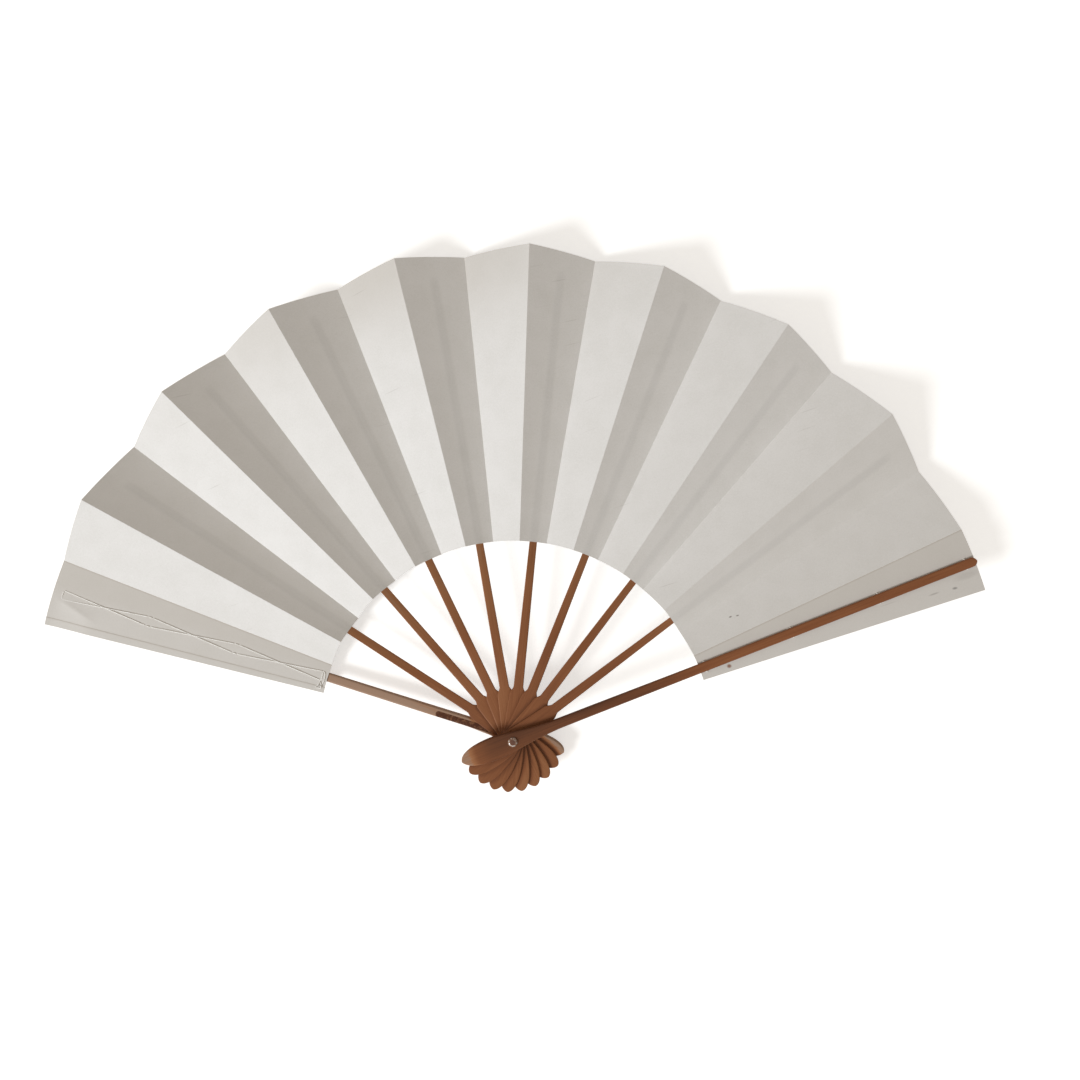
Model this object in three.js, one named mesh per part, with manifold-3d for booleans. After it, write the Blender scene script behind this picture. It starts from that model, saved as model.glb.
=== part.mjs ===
// Japanese dance fan, fully open. Ten bamboo sticks turn on one rivet and carry a pleated paper leaf.
// Millimetres. The rivet's axis is Z, +Z faces the viewer, and the open fan points along +Y.
// The origin is the middle of the rivet's flat back face. Left and right are as the viewer sees them.
import * as THREE from "three";
import { mergeVertices } from "three/addons/utils/BufferGeometryUtils.js";
import Module from "manifold-3d";

const wasm = await Module();
wasm.setup();

// The fan as a whole
const RIB_COUNT = 8; // ribs between the two guards
const OPEN_ANGLE = 141.3; // degrees from guard to guard
const TAIL_RADIUS = 28.5; // rivet to the end of a tail
const LEAF_INNER = 105; // rivet to the leaf's inner edge
const LEAF_OUTER = 260; // rivet to the leaf's outer edge
const PLEAT_HALF = 9.5; // height of a fold above or below its rib, at the outer edge

// Sticks: the head is widest behind the rivet and steps down at a soft shoulder to the slim blade
const HEAD_HALF = 6.2; // half the widest width
const HEAD_BACK = 9; // widest place, measured back from the rivet
const TAIL_FULLNESS = 2.4; // 2 makes the tail half an ellipse, more makes its end blunter
const RIB_SHOULDER_HALF = 4.1; // half the width of a rib's head where its shoulder starts
const RIB_SHOULDER_AT = 24; // rivet to the start of the shoulder
const RIB_SHOULDER_LENGTH = 4;
const RIB_NECK_HALF = 2.6; // half the width of a rib past its shoulder
const RIB_HALF = 2.0; // half the width of a rib where it enters the leaf
const RIB_TIP_HALF = 1.5; // half the width at the rib's tip
const RIB_THICK = 1.0; // in the open stretch
const BLADE_THICK = 0.45; // inside the leaf
const RIB_TIP_SETBACK = 14; // rib tip to the leaf's outer edge
const THINNING_LENGTH = 18; // over which a rib thins before it enters the leaf
const THIN_BEFORE_LEAF = 3; // full thinness is reached this far from the leaf
const TWIST_START = 45; // from here out to the leaf a rib twists into the slope of its strip
const GUARD_SHOULDER_HALF = 3.5;
const GUARD_SHOULDER_AT = 11;
const GUARD_SHOULDER_LENGTH = 16;
const GUARD_NECK_HALF = 2.75;
const GUARD_HALF = 2.5; // half the width of a guard along the leaf
const GUARD_THICK = 4; // at the rivet
const GUARD_TIP_PROUD = 0.2; // guard tip past the leaf's outer edge
const GUARD_ROUND = 0.6; // easing of the guards' outer edges
const END_HALF = 0.4; // half the small flat at the end of a tail or a tip

// Rivet
const PIN_RADIUS = 1.5;
const RIVET_HEAD_RADIUS = 2.5;
const RIVET_HEAD_HEIGHT = 1.2;
const RIVET_FLAT_RADIUS = 1.7; // flat middle of the back head

// Balance weights, let into the guards' inner faces
const WEIGHT_NEAR = 12; // rivet to the middle of the near round end
const WEIGHT_FAR = 42; // rivet to the middle of the far round end
const WEIGHT_HALF = 1.6; // half the width
const WEIGHT_DEPTH = 1.2; // thickness
const WEIGHT_OFFSET = 0.7; // towards the fan's outer side

// Paper leaf
const LEAF_THICK = 0.35; // pasted sheet
const PLY_THICK = 0.25; // one ply over a rib
const RIDGE_SLOPE = 0.6; // width of the slope beside a rib's ridge
const END_STRIP_ANGLE = 3.6; // degrees from a guard to the leaf's free edge
const LEFT_HEM = 2; // width of the hem that the left end has past that edge

// Lacing thread
const THREAD_RADIUS = 0.25;
const STITCH_COUNT = 4; // stations along each guard
const STITCH_OUTER_MARGIN = 5.5; // outermost station to the leaf's outer edge
const STITCH_INNER_MARGIN = 3; // innermost station to the leaf's inner edge
const KNOT_HALF_HEIGHT = 0.45;
const KNOT_RADIUS = 0.8;

// Clearances
const RUN_GAP = 0.3; // between turning faces, and round the pin
const CREASE_GAP = 0.3; // between two strips at a crease
const SEAT_GAP = 0.15; // between pasted or laid faces
const POCKET_GAP = 0.1; // above and below a blade in its pocket
const POCKET_SIDE_GAP = 0.2; // beside a blade and past its tip
const THREAD_GAP = 0.3; // round the thread in a hole

// Smoothness of curves
const TAIL_STEPS = 9;
const BLADE_STEPS = 11;
const SHOULDER_STEPS = 4;
const TIP_STEPS = 4;
const HOLE_SIDES = 24;
const THREAD_SIDES = 6;
const LEAF_ROWS = 4; // stretches along a strip
const FOLD_COLUMNS = 4; // stretches across a joining strip
const LEAST_STRETCH = 0.5; // stations closer than this are one
const CUT = 1; // how far a cutter reaches past what it cuts

// Values that follow
const STEP = THREE.MathUtils.degToRad(OPEN_ANGLE / (RIB_COUNT + 1));
const FIRST_ANGLE = Math.PI / 2 + THREE.MathUtils.degToRad(OPEN_ANGLE / 2);
const PITCH = RIB_THICK + RUN_GAP;
const TWIST = PLEAT_HALF / (LEAF_OUTER * Math.sin(STEP / 4)); // rise across a strip for each unit of width
const BLADE_REACH = RIB_HALF * TWIST + BLADE_THICK / 2; // of a twisted blade, above or below its middle
const THREAD_DEPTH = Math.max(0, BLADE_REACH - RIB_THICK / 2); // keeps the thread clear of a closed rib
const GUARD_RECESS = THREAD_DEPTH + 2 * THREAD_RADIUS + 2 * SEAT_GAP + LEAF_THICK;
const STACK_BOTTOM = RIVET_HEAD_HEIGHT + RUN_GAP;
const LEFT_INNER_Z = STACK_BOTTOM + GUARD_THICK;
const RIGHT_INNER_Z = LEFT_INNER_Z + RUN_GAP + RIB_COUNT * PITCH;
const STACK_TOP = RIGHT_INNER_Z + GUARD_THICK;
const LEFT_LEAF_Z = LEFT_INNER_Z - GUARD_RECESS + SEAT_GAP + LEAF_THICK / 2;
const RIGHT_LEAF_Z = RIGHT_INNER_Z + GUARD_RECESS - SEAT_GAP - LEAF_THICK / 2;
const RIB_TIP_RADIUS = LEAF_OUTER - RIB_TIP_SETBACK;
const GUARD_TIP_RADIUS = LEAF_OUTER + GUARD_TIP_PROUD;
const POCKET_HALF_Z = BLADE_THICK / 2 + POCKET_GAP;
const THREAD_HOLE = THREAD_RADIUS + THREAD_GAP;
const RIGHT_INDEX = RIB_COUNT + 1;

const stickAngle = (index) => FIRST_ANGLE - index * STEP;
const ribZ = (index) => LEFT_INNER_Z + RUN_GAP + RIB_THICK / 2 + (index - 1) * PITCH;
const pleatHeight = (radius) => (PLEAT_HALF * radius) / LEAF_OUTER;

// A closed geometry as a solid for joining and cutting
function toSolid(geometry) {
  const bare = geometry.clone();
  bare.deleteAttribute("normal");
  bare.deleteAttribute("uv");
  const merged = mergeVertices(bare, 1e-4);
  const mesh = new wasm.Mesh({
    numProp: 3,
    vertProperties: new Float32Array(merged.attributes.position.array),
    triVerts: new Uint32Array(merged.index.array),
  });
  return new wasm.Manifold(mesh);
}

// A solid as a geometry
function toGeometry(solid) {
  const mesh = solid.getMesh();
  const geometry = new THREE.BufferGeometry();
  geometry.setAttribute("position", new THREE.BufferAttribute(mesh.vertProperties, 3));
  geometry.setIndex(new THREE.BufferAttribute(mesh.triVerts, 1));
  geometry.computeVertexNormals();
  return geometry;
}

const joined = (solids) => solids.reduce((whole, piece) => whole.add(piece));

// A straight round bar between two points
function bar(from, to, radius, sides) {
  const along = new THREE.Vector3().subVectors(to, from);
  const geometry = new THREE.CylinderGeometry(radius, radius, along.length(), sides);
  const turn = new THREE.Quaternion();
  turn.setFromUnitVectors(new THREE.Vector3(0, 1, 0), along.normalize());
  geometry.applyQuaternion(turn);
  const middle = new THREE.Vector3().addVectors(from, to).multiplyScalar(0.5);
  geometry.translate(middle.x, middle.y, middle.z);
  return toSolid(geometry);
}

// A plan outline raised between two heights given in any order
function raised(shape, oneZ, otherZ) {
  const geometry = new THREE.ExtrudeGeometry(shape, {
    depth: Math.abs(otherZ - oneZ),
    steps: 1,
    curveSegments: TAIL_STEPS,
    bevelEnabled: false,
  });
  geometry.translate(0, 0, Math.min(oneZ, otherZ));
  return toSolid(geometry);
}

// A closed body from a grid: corner(i, j) gives a plan point and its upper and lower heights.
// i runs anticlockwise round the rivet and j runs outwards.
function gridBody(columns, rows, corner) {
  const positions = [];
  for (let i = 0; i <= columns; i += 1) {
    for (let j = 0; j <= rows; j += 1) {
      const { x, y, top, bottom } = corner(i, j);
      positions.push(x, y, top, x, y, bottom);
    }
  }
  const topAt = (i, j) => 2 * (i * (rows + 1) + j);
  const bottomAt = (i, j) => topAt(i, j) + 1;
  const index = [];
  for (let i = 0; i < columns; i += 1) {
    for (let j = 0; j < rows; j += 1) {
      index.push(topAt(i, j), topAt(i, j + 1), topAt(i + 1, j + 1));
      index.push(topAt(i, j), topAt(i + 1, j + 1), topAt(i + 1, j));
      index.push(bottomAt(i, j), bottomAt(i + 1, j + 1), bottomAt(i, j + 1));
      index.push(bottomAt(i, j), bottomAt(i + 1, j), bottomAt(i + 1, j + 1));
    }
  }
  const border = [];
  for (let j = 0; j < rows; j += 1) border.push([0, j]);
  for (let i = 0; i < columns; i += 1) border.push([i, rows]);
  for (let j = rows; j > 0; j -= 1) border.push([columns, j]);
  for (let i = columns; i > 0; i -= 1) border.push([i, 0]);
  border.forEach((from, n) => {
    const to = border[(n + 1) % border.length];
    index.push(bottomAt(...from), bottomAt(...to), topAt(...to));
    index.push(bottomAt(...from), topAt(...to), topAt(...from));
  });
  const geometry = new THREE.BufferGeometry();
  geometry.setAttribute("position", new THREE.Float32BufferAttribute(positions, 3));
  geometry.setIndex(index);
  return geometry;
}

// What differs between a rib and a guard in plan
const RIB_PLAN = {
  shoulderHalf: RIB_SHOULDER_HALF,
  shoulderAt: RIB_SHOULDER_AT,
  shoulderLength: RIB_SHOULDER_LENGTH,
  neckHalf: RIB_NECK_HALF,
  bladeHalf: RIB_HALF,
  tipHalf: RIB_TIP_HALF,
  tipRadius: RIB_TIP_RADIUS,
};
const GUARD_PLAN = {
  shoulderHalf: GUARD_SHOULDER_HALF,
  shoulderAt: GUARD_SHOULDER_AT,
  shoulderLength: GUARD_SHOULDER_LENGTH,
  neckHalf: GUARD_NECK_HALF,
  bladeHalf: GUARD_HALF,
  tipHalf: GUARD_HALF,
  tipRadius: GUARD_TIP_RADIUS,
};

// How far a value has gone from one end of a stretch to the other, from 0 to 1
const shareOf = (value, start, end) => THREE.MathUtils.clamp((value - start) / (end - start), 0, 1);

// Half the width of a stick at a distance from the rivet: an even taper along the head, a soft step
// down at the shoulder, an even taper along the open blade, and another one inside the leaf
function halfWidth(distance, plan) {
  const { lerp, smoothstep } = THREE.MathUtils;
  const { shoulderAt, shoulderLength, bladeHalf, tipHalf } = plan;
  const head = lerp(HEAD_HALF, plan.shoulderHalf, shareOf(distance, -HEAD_BACK, shoulderAt));
  const open = lerp(plan.neckHalf, bladeHalf, shareOf(distance, shoulderAt, LEAF_INNER));
  const past = smoothstep(distance, shoulderAt, shoulderAt + shoulderLength);
  const inLeaf = shareOf(distance, LEAF_INNER, plan.tipRadius - tipHalf);
  return lerp(head, open, past) + (tipHalf - bladeHalf) * inLeaf;
}

// Stations along a stick, each a distance from the rivet and the half width there: half a blunt
// ellipse at the tail, the head and the blade, and a round tip. Breaks are distances that need a station.
function stickStations(plan, breaks) {
  const { tipHalf, tipRadius } = plan;
  const stations = [];
  const tailTurn = Math.asin(END_HALF / HEAD_HALF);
  for (let i = 0; i < TAIL_STEPS; i += 1) {
    const turn = tailTurn + ((Math.PI / 2 - tailTurn) * i) / TAIL_STEPS;
    const back = HEAD_BACK + (TAIL_RADIUS - HEAD_BACK) * Math.cos(turn) ** (2 / TAIL_FULLNESS);
    stations.push([-back, HEAD_HALF * Math.sin(turn)]);
  }
  const tipCentre = tipRadius - tipHalf;
  const along = [...breaks];
  for (let i = 0; i <= BLADE_STEPS; i += 1) {
    along.push((tipCentre + HEAD_BACK) * (i / BLADE_STEPS) ** 2 - HEAD_BACK);
  }
  for (let i = 0; i <= SHOULDER_STEPS; i += 1) {
    along.push(plan.shoulderAt + (plan.shoulderLength * i) / SHOULDER_STEPS);
  }
  along.sort((one, other) => one - other);
  for (const distance of along) {
    const last = stations[stations.length - 1][0];
    if (distance - last < LEAST_STRETCH) continue;
    stations.push([distance, halfWidth(distance, plan)]);
  }
  const tipTurn = Math.asin(END_HALF / tipHalf);
  for (let i = 1; i <= TIP_STEPS; i += 1) {
    const turn = Math.PI / 2 - ((Math.PI / 2 - tipTurn) * i) / TIP_STEPS;
    stations.push([tipCentre + tipHalf * Math.cos(turn), tipHalf * Math.sin(turn)]);
  }
  return stations;
}

const pinHole = () => {
  const below = new THREE.Vector3(0, 0, -CUT);
  const above = new THREE.Vector3(0, 0, STACK_TOP + CUT);
  return bar(below, above, PIN_RADIUS + RUN_GAP, HOLE_SIDES);
};

// A rib: level and at full thickness on the rivet, then twisted and thinned into a blade for the leaf
function ribSolid(index) {
  const thinEnd = LEAF_INNER - THIN_BEFORE_LEAF;
  const thinStart = thinEnd - THINNING_LENGTH;
  const breaks = [TWIST_START, thinStart, thinEnd, LEAF_INNER];
  const stations = stickStations(RIB_PLAN, breaks);
  const z = ribZ(index);
  const geometry = gridBody(1, stations.length - 1, (i, j) => {
    const [x, half] = stations[j];
    const y = (2 * i - 1) * half;
    const middle = z + shareOf(x, TWIST_START, LEAF_INNER) * TWIST * y;
    const thick = THREE.MathUtils.lerp(RIB_THICK, BLADE_THICK, shareOf(x, thinStart, thinEnd));
    return { x, y, top: middle + thick / 2, bottom: middle - thick / 2 };
  });
  return toSolid(geometry).subtract(pinHole());
}

// Stitch stations, from the outer edge inwards
function stitchRadii() {
  const first = LEAF_OUTER - STITCH_OUTER_MARGIN;
  const last = LEAF_INNER + STITCH_INNER_MARGIN;
  const spacing = (first - last) / (STITCH_COUNT - 1);
  return Array.from({ length: STITCH_COUNT }, (_, i) => first - i * spacing);
}

// What differs between the two guards: heights, and the side that faces the fan
const LEFT = {
  outerZ: STACK_BOTTOM,
  innerZ: LEFT_INNER_Z,
  leafZ: LEFT_LEAF_Z,
  facing: 1,
  outside: 1,
  hem: LEFT_HEM,
  angle: stickAngle(0),
};
const RIGHT = {
  outerZ: STACK_TOP,
  innerZ: RIGHT_INNER_Z,
  leafZ: RIGHT_LEAF_Z,
  facing: -1,
  outside: -1,
  hem: 0,
  angle: stickAngle(RIGHT_INDEX),
};

const recessZ = (guard) => guard.innerZ - guard.facing * GUARD_RECESS;
const threadRunZ = (guard) => (guard.outerZ + recessZ(guard)) / 2;
const strandZ = (guard) => guard.innerZ - guard.facing * (THREAD_DEPTH + THREAD_RADIUS);

// Round-ended slot plan of a balance weight, grown by a clearance
function weightPlan(guard, grown) {
  const half = WEIGHT_HALF + grown;
  const middle = guard.outside * WEIGHT_OFFSET;
  const shape = new THREE.Shape();
  shape.absarc(WEIGHT_NEAR, middle, half, Math.PI / 2, (3 * Math.PI) / 2, false);
  shape.absarc(WEIGHT_FAR, middle, half, -Math.PI / 2, Math.PI / 2, false);
  return shape;
}

// A guard: eased outer edges, an inner face that falls away to make room for the leaf and the twisted
// ribs, a seat for the weight, and holes and notches for the thread
function guardSolid(guard) {
  const recessEnd = LEAF_INNER - CUT;
  const breaks = [TWIST_START, recessEnd];
  const stations = stickStations(GUARD_PLAN, breaks);
  const geometry = gridBody(3, stations.length - 1, (i, j) => {
    const [x, half] = stations[j];
    const atEdge = i === 0 || i === 3;
    const ease = Math.min(GUARD_ROUND, half / 2);
    const y = (i < 2 ? -1 : 1) * (atEdge ? half : half - ease);
    const outer = guard.outerZ + (atEdge ? guard.facing * GUARD_ROUND : 0);
    const inner = guard.innerZ - guard.facing * GUARD_RECESS * shareOf(x, TWIST_START, recessEnd);
    return { x, y, top: Math.max(outer, inner), bottom: Math.min(outer, inner) };
  });
  let solid = toSolid(geometry);
  const floor = guard.innerZ - guard.facing * (WEIGHT_DEPTH + 2 * SEAT_GAP);
  const seat = raised(weightPlan(guard, SEAT_GAP), floor, guard.innerZ + guard.facing * CUT);
  solid = solid.subtract(seat);
  for (const radius of stitchRadii()) {
    const z = threadRunZ(guard);
    const right = new THREE.Vector3(radius, -GUARD_HALF - CUT, z);
    const left = new THREE.Vector3(radius, GUARD_HALF + CUT, z);
    solid = solid.subtract(bar(right, left, THREAD_HOLE, THREAD_SIDES));
    for (const side of [-1, 1]) {
      const foot = new THREE.Vector3(radius, side * GUARD_HALF, z);
      const head = new THREE.Vector3(radius, side * GUARD_HALF, guard.innerZ);
      solid = solid.subtract(bar(foot, head, THREAD_HOLE, THREAD_SIDES));
    }
  }
  return solid.subtract(pinHole());
}

function weightSolid(guard) {
  const face = guard.innerZ - guard.facing * SEAT_GAP;
  return raised(weightPlan(guard, 0), face, face - guard.facing * WEIGHT_DEPTH);
}

// The thread of one guard: a run through the guard and two legs at each station, crossings between
// the stations on the paper, a straight stitch at both ends, and a knot at the inner end
function lacingSolid(guard) {
  const radii = stitchRadii();
  const at = (radius, side, z) => new THREE.Vector3(radius, side * GUARD_HALF, z);
  const strand = (from, to) => bar(from, to, THREAD_RADIUS, THREAD_SIDES);
  const runZ = threadRunZ(guard);
  const faceZ = strandZ(guard);
  const pieces = [];
  for (const radius of radii) {
    pieces.push(strand(at(radius, -1, runZ), at(radius, 1, runZ)));
    for (const side of [-1, 1]) {
      const reach = guard.facing * THREAD_RADIUS;
      pieces.push(strand(at(radius, side, runZ - reach), at(radius, side, faceZ + reach)));
    }
  }
  for (let i = 1; i < radii.length; i += 1) {
    for (const side of [-1, 1]) {
      pieces.push(strand(at(radii[i - 1], side, faceZ), at(radii[i], -side, faceZ)));
    }
  }
  for (const radius of [radii[0], radii[radii.length - 1]]) {
    pieces.push(strand(at(radius, -1, faceZ), at(radius, 1, faceZ)));
  }
  const knot = new THREE.SphereGeometry(KNOT_RADIUS, 8, 6).rotateX(Math.PI / 2);
  knot.scale(1, 1, KNOT_HALF_HEIGHT / KNOT_RADIUS);
  const lift = guard.facing * (KNOT_HALF_HEIGHT - THREAD_RADIUS);
  const knotAt = at(radii[radii.length - 1], guard.outside, faceZ + lift);
  knot.translate(knotAt.x, knotAt.y, knotAt.z);
  pieces.push(toSolid(knot));
  return joined(pieces);
}

// Half the ridge that the paper makes over a rib, from the pocket inside it
function ridgeHalf(radius) {
  const inside = Math.min(radius, RIB_TIP_RADIUS - RIB_TIP_HALF);
  return halfWidth(inside, RIB_PLAN) + POCKET_SIDE_GAP + PLY_THICK;
}

// The strip on a rib, along +X: one sloping plane with a low ridge, and a pocket in it for the blade
function ribStripSolid(index) {
  const z = ribZ(index);
  const radii = [];
  for (let j = 0; j <= LEAF_ROWS; j += 1) {
    radii.push(THREE.MathUtils.lerp(LEAF_INNER, RIB_TIP_RADIUS + RIDGE_SLOPE, j / LEAF_ROWS));
  }
  radii.push(LEAF_OUTER);
  const columns = 5;
  const geometry = gridBody(columns, radii.length - 1, (i, j) => {
    const radius = radii[j];
    const side = i < columns / 2 ? -1 : 1;
    const ridge = ridgeHalf(radius);
    const foldAt = radius * Math.sin(STEP / 4) - CREASE_GAP / 2;
    const fromFold = Math.min(i, columns - i);
    const y = side * [foldAt, ridge + RIDGE_SLOPE, ridge][fromFold];
    const onRidge = fromFold === 2 && radius < LEAF_OUTER;
    const half = onRidge ? POCKET_HALF_Z + PLY_THICK : LEAF_THICK / 2;
    const middle = z + TWIST * y;
    return { x: Math.sqrt(radius ** 2 - y ** 2), y, top: middle + half, bottom: middle - half };
  });
  const pocketEnd = RIB_TIP_RADIUS + POCKET_SIDE_GAP;
  const pocket = gridBody(1, 2, (i, j) => {
    const x = [LEAF_INNER - CUT, RIB_TIP_RADIUS - RIB_TIP_HALF, pocketEnd][j];
    const y = (2 * i - 1) * (ridgeHalf(x) - PLY_THICK);
    const middle = z + TWIST * y;
    return { x, y, top: middle + POCKET_HALF_Z, bottom: middle - POCKET_HALF_Z };
  });
  return toSolid(geometry).subtract(toSolid(pocket));
}

// Height of the leaf at a stick's right-hand and left-hand crease
function creaseZ(index, side, radius) {
  if (index === 0) return LEFT_LEAF_Z;
  if (index === RIGHT_INDEX) return RIGHT_LEAF_Z;
  return ribZ(index) + side * pleatHeight(radius);
}

// The strip that joins stick index and the next one to its right, in place
function foldStripGeometry(index) {
  const left = stickAngle(index) - STEP / 4;
  const right = stickAngle(index + 1) + STEP / 4;
  return gridBody(FOLD_COLUMNS, LEAF_ROWS, (i, j) => {
    const radius = LEAF_INNER + ((LEAF_OUTER - LEAF_INNER) * j) / LEAF_ROWS;
    const gap = CREASE_GAP / 2 / radius;
    const share = i / FOLD_COLUMNS;
    const angle = right + gap + share * (left - right - 2 * gap);
    const rightZ = creaseZ(index + 1, 1, radius);
    const leftZ = creaseZ(index, -1, radius);
    const middle = rightZ + share * (leftZ - rightZ);
    return {
      x: radius * Math.cos(angle),
      y: radius * Math.sin(angle),
      top: middle + LEAF_THICK / 2,
      bottom: middle - LEAF_THICK / 2,
    };
  });
}

// The flat strip at an end of the leaf, along its guard, with holes for the thread
function endStripSolid(guard) {
  const geometry = gridBody(FOLD_COLUMNS, 1, (i, j) => {
    const radius = j === 0 ? LEAF_INNER : LEAF_OUTER;
    const free = THREE.MathUtils.degToRad(END_STRIP_ANGLE) + guard.hem / radius;
    const inward = STEP / 4 - CREASE_GAP / 2 / radius;
    const right = guard.outside > 0 ? -inward : -free;
    const left = guard.outside > 0 ? free : inward;
    const angle = right + ((left - right) * i) / FOLD_COLUMNS;
    return {
      x: radius * Math.cos(angle),
      y: radius * Math.sin(angle),
      top: guard.leafZ + LEAF_THICK / 2,
      bottom: guard.leafZ - LEAF_THICK / 2,
    };
  });
  let solid = toSolid(geometry);
  for (const radius of stitchRadii()) {
    for (const side of [-1, 1]) {
      const under = new THREE.Vector3(radius, side * GUARD_HALF, guard.leafZ - CUT);
      const over = new THREE.Vector3(radius, side * GUARD_HALF, guard.leafZ + CUT);
      solid = solid.subtract(bar(under, over, THREAD_HOLE, THREAD_SIDES));
    }
  }
  return solid;
}

// The rivet: a shank between a flat-centred back head and a domed front head
function rivetGeometry() {
  const headLow = STACK_TOP + RUN_GAP;
  const profile = [
    new THREE.Vector2(0, 0),
    new THREE.Vector2(RIVET_FLAT_RADIUS, 0),
    new THREE.Vector2(RIVET_HEAD_RADIUS, RIVET_HEAD_HEIGHT * 0.7),
    new THREE.Vector2(RIVET_HEAD_RADIUS, RIVET_HEAD_HEIGHT),
    new THREE.Vector2(PIN_RADIUS, RIVET_HEAD_HEIGHT),
    new THREE.Vector2(PIN_RADIUS, headLow),
  ];
  for (let i = 0; i <= TIP_STEPS; i += 1) {
    const turn = ((Math.PI / 2) * i) / TIP_STEPS;
    const across = i === TIP_STEPS ? 0 : RIVET_HEAD_RADIUS * Math.cos(turn);
    profile.push(new THREE.Vector2(across, headLow + RIVET_HEAD_HEIGHT * Math.sin(turn)));
  }
  const geometry = new THREE.LatheGeometry(profile, HOLE_SIDES);
  geometry.rotateX(Math.PI / 2);
  return geometry;
}

const FINISH = {
  bamboo: { color: 0x7a4b2f, roughness: 0.5, metalness: 0 },
  innerBamboo: { color: 0x9b7d69, roughness: 0.6, metalness: 0 },
  paper: { color: 0xefece6, roughness: 0.9, metalness: 0 },
  thread: { color: 0xf2f0ea, roughness: 0.8, metalness: 0 },
  lead: { color: 0x5a3826, roughness: 0.5, metalness: 0.3 },
  rivet: { color: 0x8a6a52, roughness: 0.15, metalness: 0 },
};

const fan = new THREE.Group();

// Adds a named piece, turned round the rivet by an angle
function addPiece(name, geometry, finish, angle = 0) {
  const mesh = new THREE.Mesh(geometry, new THREE.MeshStandardMaterial(FINISH[finish]));
  mesh.name = name;
  mesh.rotation.z = angle;
  fan.add(mesh);
}

for (const [side, guard] of [
  ["left", LEFT],
  ["right", RIGHT],
]) {
  const bamboo = side === "left" ? "innerBamboo" : "bamboo";
  addPiece(`guard_${side}`, toGeometry(guardSolid(guard)), bamboo, guard.angle);
  addPiece(`weight_${side}`, toGeometry(weightSolid(guard)), "lead", guard.angle);
  addPiece(`leaf_end_${side}`, toGeometry(endStripSolid(guard)), "paper", guard.angle);
  addPiece(`lacing_${side}`, toGeometry(lacingSolid(guard)), "thread", guard.angle);
}
for (let index = 1; index <= RIB_COUNT; index += 1) {
  addPiece(`rib_${index}`, toGeometry(ribSolid(index)), "bamboo", stickAngle(index));
  addPiece(`leaf_rib_${index}`, toGeometry(ribStripSolid(index)), "paper", stickAngle(index));
}
for (let index = 0; index <= RIB_COUNT; index += 1) {
  addPiece(`leaf_fold_${index + 1}`, foldStripGeometry(index), "paper");
}
addPiece("rivet", rivetGeometry(), "rivet");

export default fan;
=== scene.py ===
"""Looks of a Japanese dance fan, fully open and lying on its back.

Ten smoked bamboo sticks turn on one rivet and carry a pleated leaf of white paper, which is laced
to two weighted guards. Lengths inside the classes are millimetres; meshes are written in metres.
"""

from __future__ import annotations

import logging
from collections.abc import Callable
from dataclasses import dataclass, field
from enum import Enum
from functools import partial
from typing import TypeVar

import bmesh
import bpy
import numpy as np
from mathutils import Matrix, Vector
from numpy.typing import NDArray


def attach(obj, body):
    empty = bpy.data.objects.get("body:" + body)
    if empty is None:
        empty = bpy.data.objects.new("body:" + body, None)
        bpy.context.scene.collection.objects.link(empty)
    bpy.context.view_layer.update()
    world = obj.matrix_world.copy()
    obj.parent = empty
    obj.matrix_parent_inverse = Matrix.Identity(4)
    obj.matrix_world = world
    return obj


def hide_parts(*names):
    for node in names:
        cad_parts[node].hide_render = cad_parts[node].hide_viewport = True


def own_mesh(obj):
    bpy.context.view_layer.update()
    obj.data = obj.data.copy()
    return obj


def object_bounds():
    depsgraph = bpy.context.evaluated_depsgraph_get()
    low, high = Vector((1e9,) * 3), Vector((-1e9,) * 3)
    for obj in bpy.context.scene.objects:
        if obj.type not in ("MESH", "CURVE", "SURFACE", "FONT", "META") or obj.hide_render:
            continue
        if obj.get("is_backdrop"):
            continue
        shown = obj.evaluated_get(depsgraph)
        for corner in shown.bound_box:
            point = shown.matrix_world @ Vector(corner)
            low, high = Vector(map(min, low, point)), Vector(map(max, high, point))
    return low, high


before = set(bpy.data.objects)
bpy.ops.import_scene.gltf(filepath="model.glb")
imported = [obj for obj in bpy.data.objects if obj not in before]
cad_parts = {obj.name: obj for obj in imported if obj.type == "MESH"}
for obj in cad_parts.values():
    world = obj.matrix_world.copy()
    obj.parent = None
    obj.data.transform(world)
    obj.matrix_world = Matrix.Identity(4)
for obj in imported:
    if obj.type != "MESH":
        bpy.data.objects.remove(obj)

Array = NDArray[np.float64]
Faces = NDArray[np.int64]
Pair = tuple[float, float]
Triple = tuple[float, float, float]
Stops = tuple[tuple[float, str], ...]
Socket = bpy.types.NodeSocket
Adder = Callable[..., Socket]
Piece = bpy.types.Object
Material = bpy.types.Material
T = TypeVar("T")

LOG = logging.getLogger("dance_fan")
MM = 0.001  # metres in a millimetre
UP = (0, 0, 1)
WHITE = (1.0, 1.0, 1.0, 1.0)
WELD = 0.002  # points closer than this become one
SLIVER = 0.0002  # edges shorter than this are taken out
POINT = 1e-4  # radius of a ring that closes an end
TINY = 1e-9
MIX_A, MIX_B, MIX_OUT = 6, 7, 2  # sockets of a Mix node that mixes colours


# Small shared tools


def linear(colour: str) -> tuple[float, float, float, float]:
    """Turn an sRGB hex colour into linear light.

    Args:
        colour: six hex digits, such as "7a4d32".

    Returns:
        Linear red, green and blue, and an alpha of 1.
    """
    part = np.array([int(colour[i : i + 2], 16) for i in (0, 2, 4)]) / 255
    light = np.where(part <= 0.04045, part / 12.92, ((part + 0.055) / 1.055) ** 2.4)
    return (*light.tolist(), 1.0)


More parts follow.
